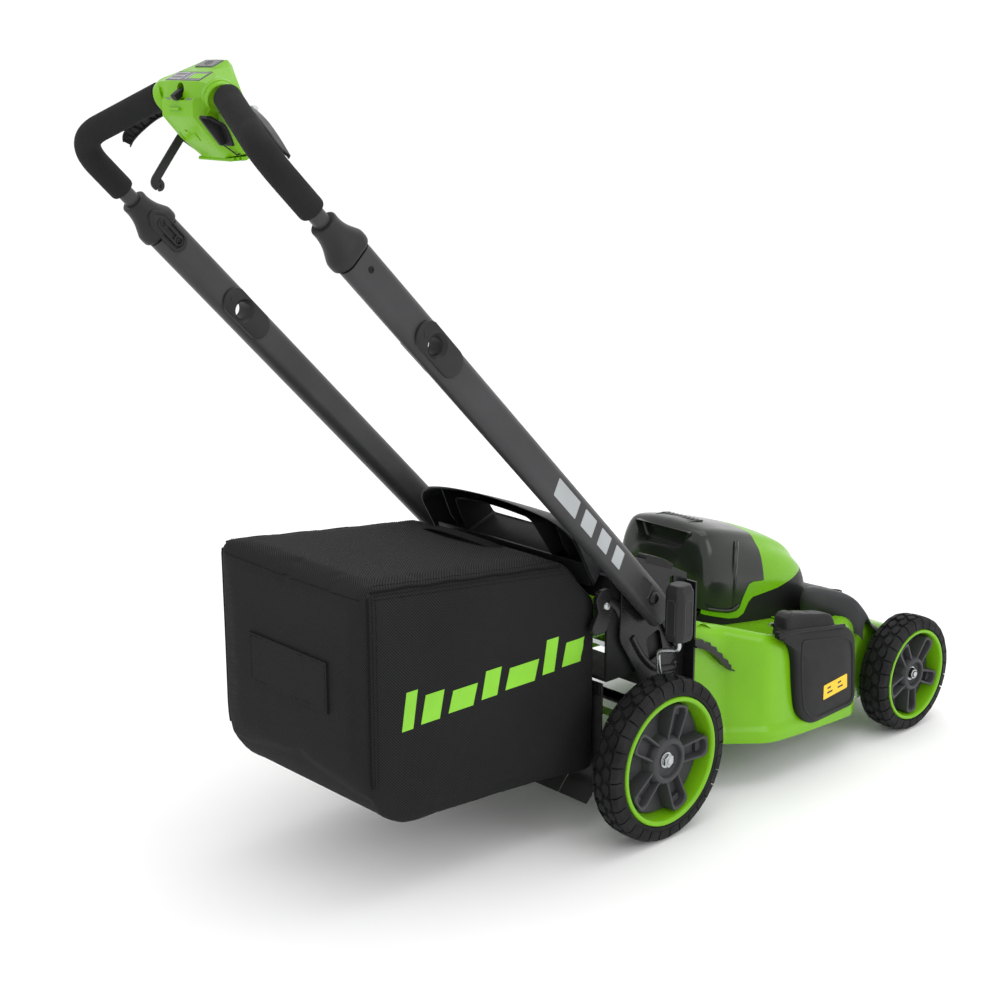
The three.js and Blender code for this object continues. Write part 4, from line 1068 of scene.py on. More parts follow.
def side_door():
    plan = [(271, 262), (302, 263), (440, 236), (462, 227), (477, 208), (480, 180), (486, 96), (478, 84),
            (372, 80), (350, 88),
            (328, 110), (320, 150), (314, 212), (300, 238), (272, 251)]
    line = fillet(plan, (3, 12, 12, 10, 12, 20, 7, 7, 12, 14, 14, 30, 20, 14, 3), 5)
    mid = (398, 165)
    ring = lambda x, k, kz=None: [(x, mid[0] + (y - mid[0]) * k, mid[1] + (z - mid[1]) * (kz or k)) for y,
                                  z in line]
    body = loft([ring(257, 0.99), ring(263, 1.0), ring(266.5, 0.992), ring(269, 0.972), ring(270.6, 0.94),
                              ring(271.4, 0.9), ring(271.9, 0.5)])
    piece("side_door_panel", body, "black", "side_door", angle=50, replaces=["side_door"])
    # raised frame that follows the panel's edge
    frame_line = [(328, 236), (440, 216), (462, 204), (468, 178), (474, 100), (466, 94), (376, 91),
                  (358, 97), (340, 116), (333, 150),
                  (327, 206)]
    frame_line = fillet(frame_line, 8, 5)
    n = len(frame_line)
    spine = [(271.3, y, z) for y, z in frame_line]
    bead = [(-0.9, -3.2), (0.9, -2.2), (1.6, 0), (0.9, 2.2), (-0.9, 3.2)]
    rings = []
    for i, p in enumerate(spine):
        t = (Vector(spine[(i + 1) % n]) - Vector(spine[i - 1])).normalized()
        out = t.cross(Vector((1, 0, 0))).normalized()
        rings.append([tuple(Vector(p) + Vector((a, 0, 0)) + out * b) for a, b in bead])
    rings.append(rings[0])
    piece("side_door_bead", loft(rings, caps=False), "black", "side_door", angle=60)
    # knob block over the deck's shoulder
    foot = fillet([(236, 288), (236, 422), (270, 430), (272, 286)], (12, 14, 12, 10), 4)
    levels = [(250, 1.0, 0), (259, 0.99, 0), (262, 0.95, -2), (272, 0.91, -4), (278, 0.86, -6),
              (281.5, 0.76, -8), (282.5, 0.6, -9)]
    rings = []
    for z, k, dx in levels:
        rings.append([(256 + (x - 256) * k + dx, 356 + (y - 356) * k, z - (y - 290) * 0.15) for x,
                      y in foot])
    notches = [rod((228, y, 284 - (y - 290) * 0.15), (244, y + 3, 282.5 - (y - 290) * 0.15), 3.8,
                   20) for y in (330, 372)]
    piece("side_door_block", loft(rings), "black", "side_door", bevel=0.8, segments=2, angle=40,
          cuts=notches)
    lip = sweep(curve_through([(273, 262, 258), (275, 300, 259), (274, 380, 246), (271, 440, 236)], 6),
                circle(3.4, 12))
    piece("side_door_wing", lip, "black", "side_door", angle=60)
    piece("side_door_hinge", rod((236, 286, 264), (236, 420, 242), 3.2), "zinc", "side_door", angle=40)
    label = fillet([(391, 118), (456, 124), (454, 149), (391, 143)], 2, 3)
    piece("side_door_label", loft([[(x, y, z) for y, z in label] for x in (271.5, 272.35)]), "yellow_print",
          "side_door")
    for i, y0 in enumerate((401, 429)):
        for k, z0 in enumerate((125.5, 133.5)):
            rise = (y0 - 391) * 0.09
            bar = [(y0, z0 + rise), (y0 + 14 - 5 * k, z0 + rise + 1.2), (y0 + 14 - 5 * k, z0 + rise + 4.4),
                   (y0, z0 + rise + 3.2)]
            piece(f"side_door_label_bar_{i}_{k}", slab_x(bar, 272.2, 272.5), "dark_print", "side_door")


# Motor hood: one smooth body, split into base, green cowl and smoked battery lid
HOOD = (  # y, half width at the base, half width at the crest, crest height
    (283, 86, 60, 346), (286, 92, 68, 364), (293, 98, 77, 378), (308, 104, 83, 386), (340, 108, 85, 383),
    (385, 109, 84, 372), (430, 109, 81, 359), (480, 107, 76, 342), (530, 101, 69, 320), (562, 92, 61, 301),
        (585, 78, 51, 284),
    (600, 60, 38, 268), (608, 42, 26, 256), (612, 20, 12, 249))
LID_LINE = ((286, 256), (340, 241.5), (358, 241), (367, 245), (376, 263), (389, 282), (400, 284.5),
            (429, 281), (431, 330), (427, 420))
STRIPE_LINE = ((286, 248), (340, 231), (364, 227), (378, 232), (390, 250), (401, 256.5), (470, 258),
               (543, 267), (620, 270), (700, 270))
FLOOR_LINE = ((270, 226), (300, 220), (340, 204), (420, 196), (470, 194), (507, 200), (530, 206),
              (560, 200), (620, 200), (700, 200))


def hood_section(y, base, crest, top):
    floor = along(DECK_TOP, y) - 34
    shoulder = min(16, (top - floor) * 0.24)
    waist = floor + 0.52 * (top - floor)
    return [(base - 5, y, floor), (base - 1, y, floor + 10), (base + 1, y, waist - 16),
            (base, y, waist + 8),
            (base - (base - crest) * 0.35, y, waist + (top - waist) * 0.55),
            (crest + 4, y, top - shoulder * 0.95), (crest - 6, y, top - shoulder * 0.28),
            (crest - 24 * crest / 90, y, top), (crest * 0.4, y, top + 4), (0, y, top + 5.5)]


def hood_grid():
    """Smooth surface grid, right to left over the top."""
    rings = []
    for station in curve_through(HOOD, 6):
        half = curve_through(hood_section(*station), 5)
        rings.append(half + [(-x, y, z) for x, y, z in reversed(half[:-1])])
    return rings


def inside(polygon, y, z):
    hit = False
    for (y0, z0), (y1, z1) in zip(polygon, polygon[1:] + polygon[:1]):
        if (z0 > z) != (z1 > z) and y < y0 + (z - z0) / (z1 - z0) * (y1 - y0):
            hit = not hit
    return hit


HOOD_WALL = 2.6


def hood_panel(name, part, polygon, look, body, replaces):
    """The part of the hood's skin inside a side-view polygon, given a thickness."""
    mesh = mesh_of(name, part)
    bm = bmesh.new()
    bm.from_mesh(mesh)
    for (y0, z0), (y1, z1) in zip(polygon, polygon[1:] + polygon[:1]):
        normal = Vector((0, z1 - z0, y0 - y1))
        bmesh.ops.bisect_plane(bm, geom=bm.verts[:] + bm.edges[:] + bm.faces[:],
                               plane_co=point((0, y0, z0)),
                               plane_no=normal, dist=1e-6)
    away = [f for f in bm.faces if not inside(polygon, (f.calc_center_median().y - SHIFT_Y) / MM,
                                              f.calc_center_median().z / MM)]
    bmesh.ops.delete(bm, geom=away, context="FACES")
    flat = [e for e in bm.edges if len(e.link_faces) == 2 and e.calc_face_angle(0) < math.radians(0.25)]
    bmesh.ops.dissolve_edges(bm, edges=[e for e in flat if e.calc_length() < 0.2 * MM], use_verts=False)
    bm.to_mesh(mesh)
    bm.free()
    obj = linked(name, mesh)
    thick_mod = obj.modifiers.new("thickness", "SOLIDIFY")
    thick_mod.thickness = HOOD_WALL * MM
    thick_mod.offset = -1
    thick_mod.use_even_offset = False
    apply_modifiers(obj)
    obj_carve(obj, [], look, 40)
    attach(obj, body)
    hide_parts(*replaces)
    return obj


def shifted(line, dz):
    return [(y, z + dz) for y, z in line]


def closed_skin(grid):
    """Hood skin with its rear and nose ends closed by shrinking rings."""
    def shrunk(ring, k, dy):
        mid = Vector((0, ring[0][1], (ring[0][2] + ring[len(ring) // 2][2]) / 2))
        return [(p[0] * k, p[1] + dy, mid.z + (p[2] - mid.z) * k) for p in ring]
    rear = [shrunk(grid[0], k, dy) for k, dy in ((0.05, -3.4), (0.5, -3.2), (0.88, -2.2), (0.96, -1))]
    nose = [shrunk(grid[-1], k, dy) for k, dy in ((0.9, 2), (0.6, 4), (0.05, 4.6))]
    return loft(rear + grid + nose, caps=False, closed=False)


def hood():
    skin = closed_skin(hood_grid())
    lid = [*LID_LINE, (300, 440), (270, 420), (270, 262)]
    obj = hood_panel("lid_shell", skin, lid, "smoke", "battery_lid", ["battery_lid"])
    tray = recess_shell()
    carve(obj, [tray[0]])
    obj_carve(obj, [], "smoke", 40)
    piece("lid_hand_tray", tray[1], "smoke", "battery_lid", bevel=0.8, cuts=[tray[2]])
    stripe = [*shifted(LID_LINE[:-1], -0.9), (431.8, 330), (428.2, 440), (720, 440),
              (720, 214)] + list(reversed(STRIPE_LINE))[1:]
    hood_panel("cowl_shell", skin, stripe, "green", "chassis", ["hood_cowl"])
    base = [*shifted(STRIPE_LINE, -0.8)] + list(reversed(FLOOR_LINE))
    hood_panel("hood_side_panels", skin, base, "black", "chassis", ["hood_base"])
    under = [[(x * 0.86, y, z) for x, y, z in ring] for ring in hood_grid()]
    hood_panel("hood_underside", closed_skin(under),
               [(y, z + 14) for y, z in FLOOR_LINE] + [(700, 140), (280, 140)], "black",
               "chassis", [])
    # smooth column behind the right and left corners, and the arch in front of it
    for name, side in SIDES:
        arch = curve_through([(108.6, 352, 243), (109.4, 351, 290), (107.5, 355, 322), (101, 364, 346),
                              (93, 374, 356)], 6)
        bead = [(-0.6, -5), (1.6, -2.6), (2.0, 0), (1.6, 2.6), (-0.6, 5)]
        part = sweep(arch, bead, (1, 0, 0.3))
        piece(f"lid_arch_{name}", part if side > 0 else mirrored(part), "smoke", "battery_lid", angle=60)
        low = curve_through([(110, 282, 262), (111, 320, 250), (111, 345, 246), (110.5, 362, 250)], 5)
        part = sweep(low, circle(2.2, 10), (1, 0, 0))
        piece(f"lid_foot_{name}", part if side > 0 else mirrored(part), "smoke", "battery_lid", angle=60)
    for i in range(9):
        x = -36 + i * 9
        part = sweep([(x, 314, 389.6), (x, 332, 389.9), (x, 350, 386.6)],
                     [(-2.2, -1.6), (2.2, -1.6), (1.4, 0.9), (-1.4, 0.9)])
        piece(f"lid_grip_rib_{i}", part, "smoke", "battery_lid", bevel=0.4, segments=2)
    battery()
    dress("motor", "zinc", 1.5)
    dress("controller", "black", 1.5)
    dress("blade", "zinc", 0.5)
    dress("blade_shaft", "zinc", 0.6)
    dress("rear_chute", "black", 1.2)


def battery():
    """Slide-in pack: a ribbed case, low enough to rise under the closed lid."""
    low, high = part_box("battery_pack")
    x0, x1 = low.x / MM + 1, high.x / MM - 1
    y0, y1 = (low.y - SHIFT_Y) / MM + 1, (high.y - SHIFT_Y) / MM - 14
    z0, z1 = low.z / MM, high.z / MM - 22
    plan = fillet([(x0, y0), (x1, y0), (x1, y1), (x0, y1)], 8, 5)
    mid = ((x0 + x1) / 2, (y0 + y1) / 2)
    rings = [[(mid[0] + (x - mid[0]) * k, mid[1] + (y - mid[1]) * k, z) for x, y in plan] for z, k in
             ((z0, 0.95), (z0 + 3, 1), (z1 - 14, 1), (z1 - 10, 0.96), (z1 - 3, 0.95), (z1, 0.9))]
    piece("battery_case", loft(rings), "charcoal", "battery", bevel=0.8, segments=2,
          replaces=["battery_pack"])
    for i in range(5):
        y = mid[1] - 24 + i * 12
        piece(f"battery_rib_{i}", box(x0 + 14, x1 - 14, y, y + 4, z1 - 1, z1 + 1.6), "black", "battery",
              bevel=0.6, segments=2)


def recess_shell():
    """Hand recess: (hole in the lid, tray body, hollow of the tray)."""
    line = fillet([(-46, 350), (46, 350), (60, 381), (-60, 381)], (9, 9, 5, 5), 5)
    ring = lambda y, k: [(x * k, y, 366 + (z - 366) * k) for x, z in line]
    hole = loft([ring(255, 1.0), ring(299, 1.0)])
    body = loft([ring(287.5, 1.04), ring(306, 1.04)])
    hollow = loft([ring(280, 1.0), ring(300, 0.96), ring(303, 0.9)])
    return hole, body, hollow


COVER = (  # x, then (y, z) from the rear edge over the crest to the front edge
    (0, ((640, 176), (641, 190), (662, 199), (686, 197), (702, 190), (716, 180), (726, 168), (731, 150))),
    (60, ((628, 178), (628, 196), (650, 207), (678, 202), (698, 192), (714, 180), (726, 166), (731, 146))),
    (108, ((560, 190), (558, 212), (590, 230), (632, 216), (668, 199), (694, 178), (712, 160), (718, 140))),
    (140, ((500, 206), (494, 238), (512, 257), (572, 242), (620, 221), (648, 194), (674, 168), (694, 140))),
    (180, ((524, 200), (519, 226), (538, 249), (566, 243), (594, 219), (620, 188), (652, 166), (684, 140))),
    (206, ((538, 190), (534, 214), (550, 240), (566, 235), (584, 206), (612, 184), (646, 162), (676, 138))),
    (222, ((552, 180), (548, 200), (556, 224), (570, 219), (588, 196), (614, 178), (644, 156), (672, 134))),
    (227, ((560, 170), (560, 188), (566, 206), (576, 203), (590, 186), (616, 168), (640, 150), (664, 130))),
)


def front_cover():
    """Dark saddle over the front of the deck, high at both front wheels."""
    stations = [(-x, line) for x, line in reversed(COVER[1:])] + list(COVER)
    tracks = [curve_through([(x, *line[i]) for x, line in stations], 5) for i in range(len(COVER[0][1]))]
    grid = [curve_through([t[k] for t in tracks], 5) for k in range(len(tracks[0]))]
    obj = linked("cover_saddle", mesh_of("cover_saddle", loft(grid, caps=False, closed=False)))
    thick = obj.modifiers.new("thickness", "SOLIDIFY")
    thick.thickness, thick.offset = 3 * MM, -1
    apply_modifiers(obj)
    obj_carve(obj, [], "cover", 45)
    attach(obj, "chassis")
    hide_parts("front_cover")
    for name, side in SIDES:
        notch = [(side * x, y, z) for x, y,
                 z in ((126, 566, 240), (150, 538, 252.6), (178, 528, 242), (176, 560, 246),
                       (150, 590, 237))]
        line = curve_through(notch, 4, closed=True)
        piece(f"cover_step_{name}",
              closed_sweep(line, [(-1.6, -1.6), (1.0, -0.8), (1.0, 0.8), (-1.6, 1.6)], (0, 0, 1)), "cover",
              "chassis", angle=60)


def hood_print():
    """Three slanted bars where the side panel carries its printing."""
    for i, (y0, y1) in enumerate(((418, 438), (444, 470), (476, 508))):
        for name, side in SIDES:
            x = 107.6 - 0.0012 * max(0, y1 - 440) ** 2
            bar = fillet([(y0, 232), (y1, 232), (y1 + 6, 248), (y0 + 6, 248)], 2, 3)
            part = loft([[(side * (x + dx + 2.2 - 0.0009 * (y - 400) ** 2 * 0.3), y, z) for y,
                          z in bar] for dx in (-3, -0.4)])
            piece(f"hood_mark_{name}_{i}", part, "green_print", "chassis")


deck()
side_door()
hood()
front_cover()
hood_print()


# Grass bag: taut sewn cloth, puffed slightly, with stitched seams
BAG_SIDE = ((-46, 92), (-418, 116), (-455, 134), (-477, 168), (-484, 206), (-484, 464), (-474, 473),
            (-120, 436),
            (-106, 431), (-46, 366))
BAG_MOUTH = (156, 254, 356)  # half width, bottom and top of the opening


def bag_outline(inset):
    line = fillet(BAG_SIDE, (4, 30, 26, 26, 20, 9, 9, 10, 10, 4), 5)
    mid = (-265, 285)
    return [(y - math.copysign(min(inset, abs(y - mid[0])), y - mid[0]),
             z - math.copysign(min(inset, abs(z - mid[1])), z - mid[1])) for y, z in line]


def bag_blank():
    steps = ((170.9, 16), (171, 10), (169.4, 5), (165.5, 1.6), (160, 0))
    right = [[(x, y, z) for y, z in bag_outline(inset)] for x, inset in steps]
    left = [[(-x, y, z) for x, y, z in ring] for ring in reversed(right)]
    obj = linked("bag_cloth", mesh_of("bag_cloth", loft(right + left)))
    mesh_size = obj.modifiers.new("remesh", "REMESH")
    mesh_size.mode, mesh_size.voxel_size = "VOXEL", 8 * MM
    apply_modifiers(obj)
    smooth = obj.modifiers.new("smooth", "SMOOTH")
    smooth.factor, smooth.iterations = 0.5, 2
    apply_modifiers(obj)
    return obj


def held(co):
    """How firmly the wire frame and the sewn corner seams hold a point of the bag."""
    y, z, x = (co.y - SHIFT_Y) / MM, co.z / MM, abs(co.x) / MM
    if y > -66:
        return 1.0
    outline_gap = min(abs(y + 484), abs(z - (436 - (y + 120) * 0.1045)))
    return 0.75 if x > 160 and outline_gap < 14 else 0.0


def puff(obj):
    """Lets pressure fill the blank, then limits how far the cloth has moved."""
    rest = [v.co.copy() for v in obj.data.vertices]
    group = obj.vertex_groups.new(name="held")
    for v in obj.data.vertices:
        weight = held(v.co)
        if weight:
            group.add([v.index], weight, "REPLACE")
    cloth = obj.modifiers.new("cloth", "CLOTH")
    s = cloth.settings
    s.quality, s.mass = 5, 0.35
    s.use_pressure, s.uniform_pressure_force = True, 4
    s.tension_stiffness = s.compression_stiffness = 25
    s.bending_stiffness = 2.5
    s.shrink_min = -0.005
    s.vertex_group_mass = "held"
    s.effector_weights.gravity = 0
    cloth.point_cache.frame_start, cloth.point_cache.frame_end = 1, 20
    for f in range(1, 21):
        bpy.context.scene.frame_set(f)
    apply_modifiers(obj)
    bpy.context.scene.frame_set(1)
    for v, was in zip(obj.data.vertices, rest):
        move = v.co - was
        if move.length > 4 * MM:
            v.co = was + move.normalized() * 4 * MM


def bag_open(obj):
    half, low, high = BAG_MOUTH
    bm = bmesh.new()
    bm.from_mesh(obj.data)
    for plane_co, normal in (((half, 0, 0), (1, 0, 0)), ((-half, 0, 0), (1, 0, 0)),
                             ((0, 0, low), (0, 0, 1)),
                             ((0, 0, high), (0, 0, 1))):
        front = [f for f in bm.faces if f.calc_center_median().y > SHIFT_Y - 62 * MM]
        geom = list({v for f in front for v in f.verts} | {e for f in front for e in f.edges} | set(front))
        bmesh.ops.bisect_plane(bm, geom=geom, plane_co=point(plane_co), plane_no=normal, dist=1e-6)
    gone = []
    for f in bm.faces:
        c = f.calc_center_median()
        if c.y > SHIFT_Y - 62 * MM and abs(c.x) < half * MM and low * MM < c.z < high * MM:
            gone.append(f)
    bmesh.ops.delete(bm, geom=gone, context="FACES")
    bm.to_mesh(obj.data)
    bm.free()


def hugged(points, tree, lift):
    """Points moved onto the bag's cloth and lifted off it."""
    out = []
    for p in points:
        place, normal, _, _ = tree.find_nearest(point(p))
        place = place + normal * lift * MM
        out.append((place.x / MM, (place.y - SHIFT_Y) / MM, place.z / MM))
    return out


def dense(path, step):
    out = []
    for a, b in zip(path, path[1:]):
        n = max(1, round((Vector(b) - Vector(a)).length / step))
        out += [tuple(Vector(a).lerp(Vector(b), k / n)) for k in range(n)]
    return out + [tuple(path[-1])]


def stitches(name, path, tree, pitch=3.6):
    """A row of short raised threads along a path on the cloth."""
    line = hugged(dense(path, pitch / 2), tree, 0.1)
    parts = [sweep([line[i], line[i + 1]], circle(0.55, 5)) for i in range(0, len(line) - 1, 2)]
    piece(name, join(*parts), "webbing", "grass_bag", angle=60)


def patch(name, outline, to_xyz, tree, look, low, high, cells=10):
    """Thin patch whose grid hugs the cloth; outline is (a0, a1, b0, b1, slant)."""
    a0, a1, b0, b1, slant = outline
    grid = [[to_xyz(a0 + (a1 - a0) * i / cells + slant * j / 6,
                    b0 + (b1 - b0) * j / 6) for i in range(cells + 1)]
            for j in range(7)]
    bottom = [hugged(row, tree, low) for row in grid]
    top = [hugged(row, tree, high) for row in grid]
    n, m = cells + 1, 7
    points = [p for row in bottom for p in row] + [p for row in top for p in row]
    faces = []
    for j in range(m - 1):
        for i in range(n - 1):
            a = j * n + i
            faces.append([a, a + n, a + n + 1, a + 1])
            faces.append([a + n * m, a + 1 + n * m, a + n + 1 + n * m, a + n + n * m])
    rim = [i for i in range(n)] + [j * n + n - 1 for j in range(1, m)]
    rim += [(m - 1) * n + i for i in range(n - 2, -1, -1)] + [j * n for j in range(m - 2, 0, -1)]
    for k, a in enumerate(rim):
        b = rim[(k + 1) % len(rim)]
        faces.append([a, b, b + n * m, a + n * m])
    piece(name, (points, faces), look, "grass_bag", angle=50)


def grass_bag():
    obj = bag_blank()
    puff(obj)
    bm = bmesh.new()
    bm.from_mesh(obj.data)
    tree = BVHTree.FromBMesh(bm)
    bm.free()
    bag_open(obj)
    for kind in ("SUBSURF", "SOLIDIFY"):
        mod = obj.modifiers.new(kind.lower(), kind)
        if kind == "SUBSURF":
            mod.levels = mod.render_levels = 1
        else:
            mod.thickness, mod.offset = 2.2 * MM, -1
        apply_modifiers(obj)
    shade(obj.data, 60)
    obj.data.materials.clear()
    obj.data.materials.append(LOOKS["bag"][0])
    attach(obj, "grass_bag")
    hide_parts("grass_bag", "bag_handle")

    for name, side in SIDES:
        edge = [(side * 171, -484, 200), (side * 171, -484, 464), (side * 171, -474, 473),
                (side * 171, -120, 436)]
        seam = hugged(dense(curve_through([(x, y, z) for x, y, z in edge[2:]], 8), 9), tree, 0.4)
        piece(f"bag_top_piping_{name}", sweep(seam, circle(1.9, 8)), "webbing", "grass_bag", angle=60)
        seam = hugged(dense([(side * 171, -484, 190), (side * 171, -484, 462)], 9), tree, 0.2)
        piece(f"bag_rear_piping_{name}", sweep(seam, circle(1.5, 8)), "webbing", "grass_bag", angle=60)
        for k, drop in enumerate((6, 12)):
            stitches(f"bag_side_stitches_{name}_{k}",
                     [(side * 174, -470, 470 - drop), (side * 174, -118, 433 - drop)], tree)
            stitches(f"bag_corner_stitches_{name}_{k}",
                     [(side * 174, -481 + drop, 462), (side * 174, -481 + drop, 190)], tree)
        stitches(f"bag_top_stitches_{name}", [(side * 160, -468, 480), (side * 160, -122, 444)], tree)
    stitches("bag_rear_stitches", [(-158, -490, 458), (158, -490, 458)], tree)
    rear = lambda x, z: (x, -492, z)
    patch("bag_rear_panel", (-90, 90, 280, 354, 0), rear, tree, "bag", -1.0, 3.4, 16)
    for k, (x0, z0, x1, z1) in enumerate(((-86, 350, 86, 350), (-86, 284, 86, 284), (86, 284, 86, 350),
                                          (-86, 284, -86, 350))):
        line = hugged(dense([(x0, -492, z0), (x1, -492, z1)], 1.9), tree, 3.5)
        parts = [sweep([line[i], line[i + 1]], circle(0.5, 5)) for i in range(0, len(line) - 1, 2)]
        piece(f"bag_panel_stitches_{k}", join(*parts), "webbing", "grass_bag", angle=60)
    for name, side in SIDES:
        flank = lambda y, z, side=side: (side * 176, y, z)
        marks = ((-430, 20, 70), (-396, 34, 52), (-346, 46, 40), (-284, 30, 52), (-238, 58, 40),
                 (-164, 24, 66), (-124, 40, 46))
        for k, (y0, wide, tall) in enumerate(marks):
            z0 = 262 + (y0 + 430) * 0.055
            patch(f"bag_mark_{name}_{k}", (y0, y0 + wide, z0, z0 + tall * 0.78, 9), flank, tree,
                  "green_print", -0.3, 0.35)
    path = curve_through([(-98, -158, 441.5), (-88, -158, 444), (-60, -160, 450), (-20, -163, 452),
                          (30, -158, 449),
                          (58, -150, 443), (68, -148, 440)], 6)
    piece("bag_strap", sweep(path, [(-10, -1.1), (10, -1.1), (10, 1.1), (-10, 1.1)], (0, 1, 0)), "webbing",
          "grass_bag",
          bevel=0.5, segments=2)
    frame_path = fillet([Vector((-157, 0, 252)), Vector((-157, 0, 358)), Vector((157, 0, 358)),
                         Vector((157, 0, 252))], 15, 6)
    loop = [(p[0], -52, p[2]) for p in frame_path]
    piece("bag_mouth_wire", closed_sweep(loop, circle(3.2, 12), (0, 1, 0)), "bracket", "grass_bag",
          angle=60,
          replaces=["bag_frame"])
    for i, x in enumerate((-104, -35, 35, 104)):
        clip = fillet([(-59, 350), (-45, 350), (-45, 365), (-59, 365)], 3, 4)
        piece(f"bag_clip_{i}", slab_x(clip, x - 14, x + 14), "black", "grass_bag", bevel=0.8, segments=2)


grass_bag()


# Rear door, leaning open against the bag
DOOR_HINGE, DOOR_LEAN = (-31, 408), math.radians(48)


def on_door(x, s, n):
    """x across, s up the door from its hinge, n out of its underside."""
    c, k = math.cos(DOOR_LEAN), math.sin(DOOR_LEAN)
    return (x, DOOR_HINGE[0] - c * s - k * n, DOOR_HINGE[1] + k * s - c * n)


def door_line(inset):
    line = [(-172, 0), (-172, 88), (-150, 116), (-90, 130), (0, 136), (90, 130), (150, 116), (172, 88),
            (172, 0)]
    line = fillet(line, (3, 12, 26, 90, 200, 90, 26, 12, 3), 6)
    return [(x - math.copysign(min(inset, abs(x)), x), max(inset * 0.2, s - inset) if s > 60 else s) for x,
            s in line]


def in_shell(x, s, depth):
    """Point on the door's dished wall; depth goes from its open edge towards its flat front."""
    k = depth / 36
    rear = 31 * (1 - min(1, s / 136)) * (1 - k)
    return on_door(x * (1 - 0.07 * k), s * (1 - 0.5 * k), rear - depth)


def rear_door():
    def ring(inset, depth):
        return [in_shell(x, s, depth) for x, s in door_line(inset)]

    wall = [ring(3, 1.2), ring(2.2, -0.2), ring(0.8, -0.2), ring(0, 0.8), ring(0, 28), ring(1.2, 33),
            ring(5, 36), ring(9, 36.6),
            ring(9, 33.6), ring(6.4, 32.4), ring(4.2, 28), ring(3, 1.2)]
    piece("rear_door_wall", loft(wall, caps=False), "black", "rear_door", angle=40, replaces=["rear_door"])
    window = fillet([(-97, 30), (97, 30), (84, 108), (0, 117), (-84, 108)], (9, 9, 14, 180, 14), 6)
    hole = loft([[in_shell(x, s, d) for x, s in window] for d in (20, 60)])
    piece("rear_door_panel", loft([ring(8.6, 33.4), ring(8.6, 36.4)]), "black", "rear_door", angle=40,
          cuts=[hole])

    def frame_ring(grow, depth):
        middle = (0, 74)
        return [in_shell(x + math.copysign(grow, x) if abs(x) > 1 else x,
                         s + math.copysign(grow, s - middle[1]), depth)
                for x, s in window]

    box_walls = [frame_ring(g, d) for g,
                 d in ((0, 36), (0, 4), (0.6, 3), (2, 3), (2.6, 4), (2.6, 35.5), (0, 36))]
    piece("rear_door_window", loft(box_walls, caps=False), "black", "rear_door", angle=40)
    sill = [(2, -2), (10, 1), (34, 2.4), (37, 3.4), (35, 5.6), (8, 4.4), (0, 1)]
    piece("rear_door_sill", loft([[in_shell(x, s, d) for s, d in sill] for x in (-166, -80, 0, 80, 166)]),
          "black", "rear_door",
          bevel=0.6, segments=2)
    for name, side in SIDES:
        rib = [[in_shell(side * (x + dx), s, d) for s,
                d in ((30, 34), (118, 34), (118, 10), (60, 6), (30, 8))]
               for x in (128,) for dx in (-1.2, 1.2)]
        piece(f"rear_door_rib_{name}", loft(rib), "black", "rear_door", bevel=0.5, segments=2)
        cheek = [(4, 2), (92, 2), (104, 12), (100, 32), (4, 32)]
        plate = [[in_shell(side * x, s, d) for s, d in cheek] for x in (171.6, 173.8)]
        piece(f"rear_door_cheek_{name}", loft(plate), "cover", "rear_door", bevel=0.8, segments=2)
        x0, x1 = sorted((side * 120, side * 172))
        piece(f"rear_door_barrel_{name}", rod_x(5.2, x0, x1, *DOOR_HINGE), "black", "rear_door", bevel=0.5,
              segments=2)


# Pressed handle brackets, their bolts, and the height lever
BRACKET = ((-22, 300), (-18, 404), (0, 427), (38, 415), (91, 394), (127, 376), (127, 140), (56, 140),
           (46, 186), (20, 236))


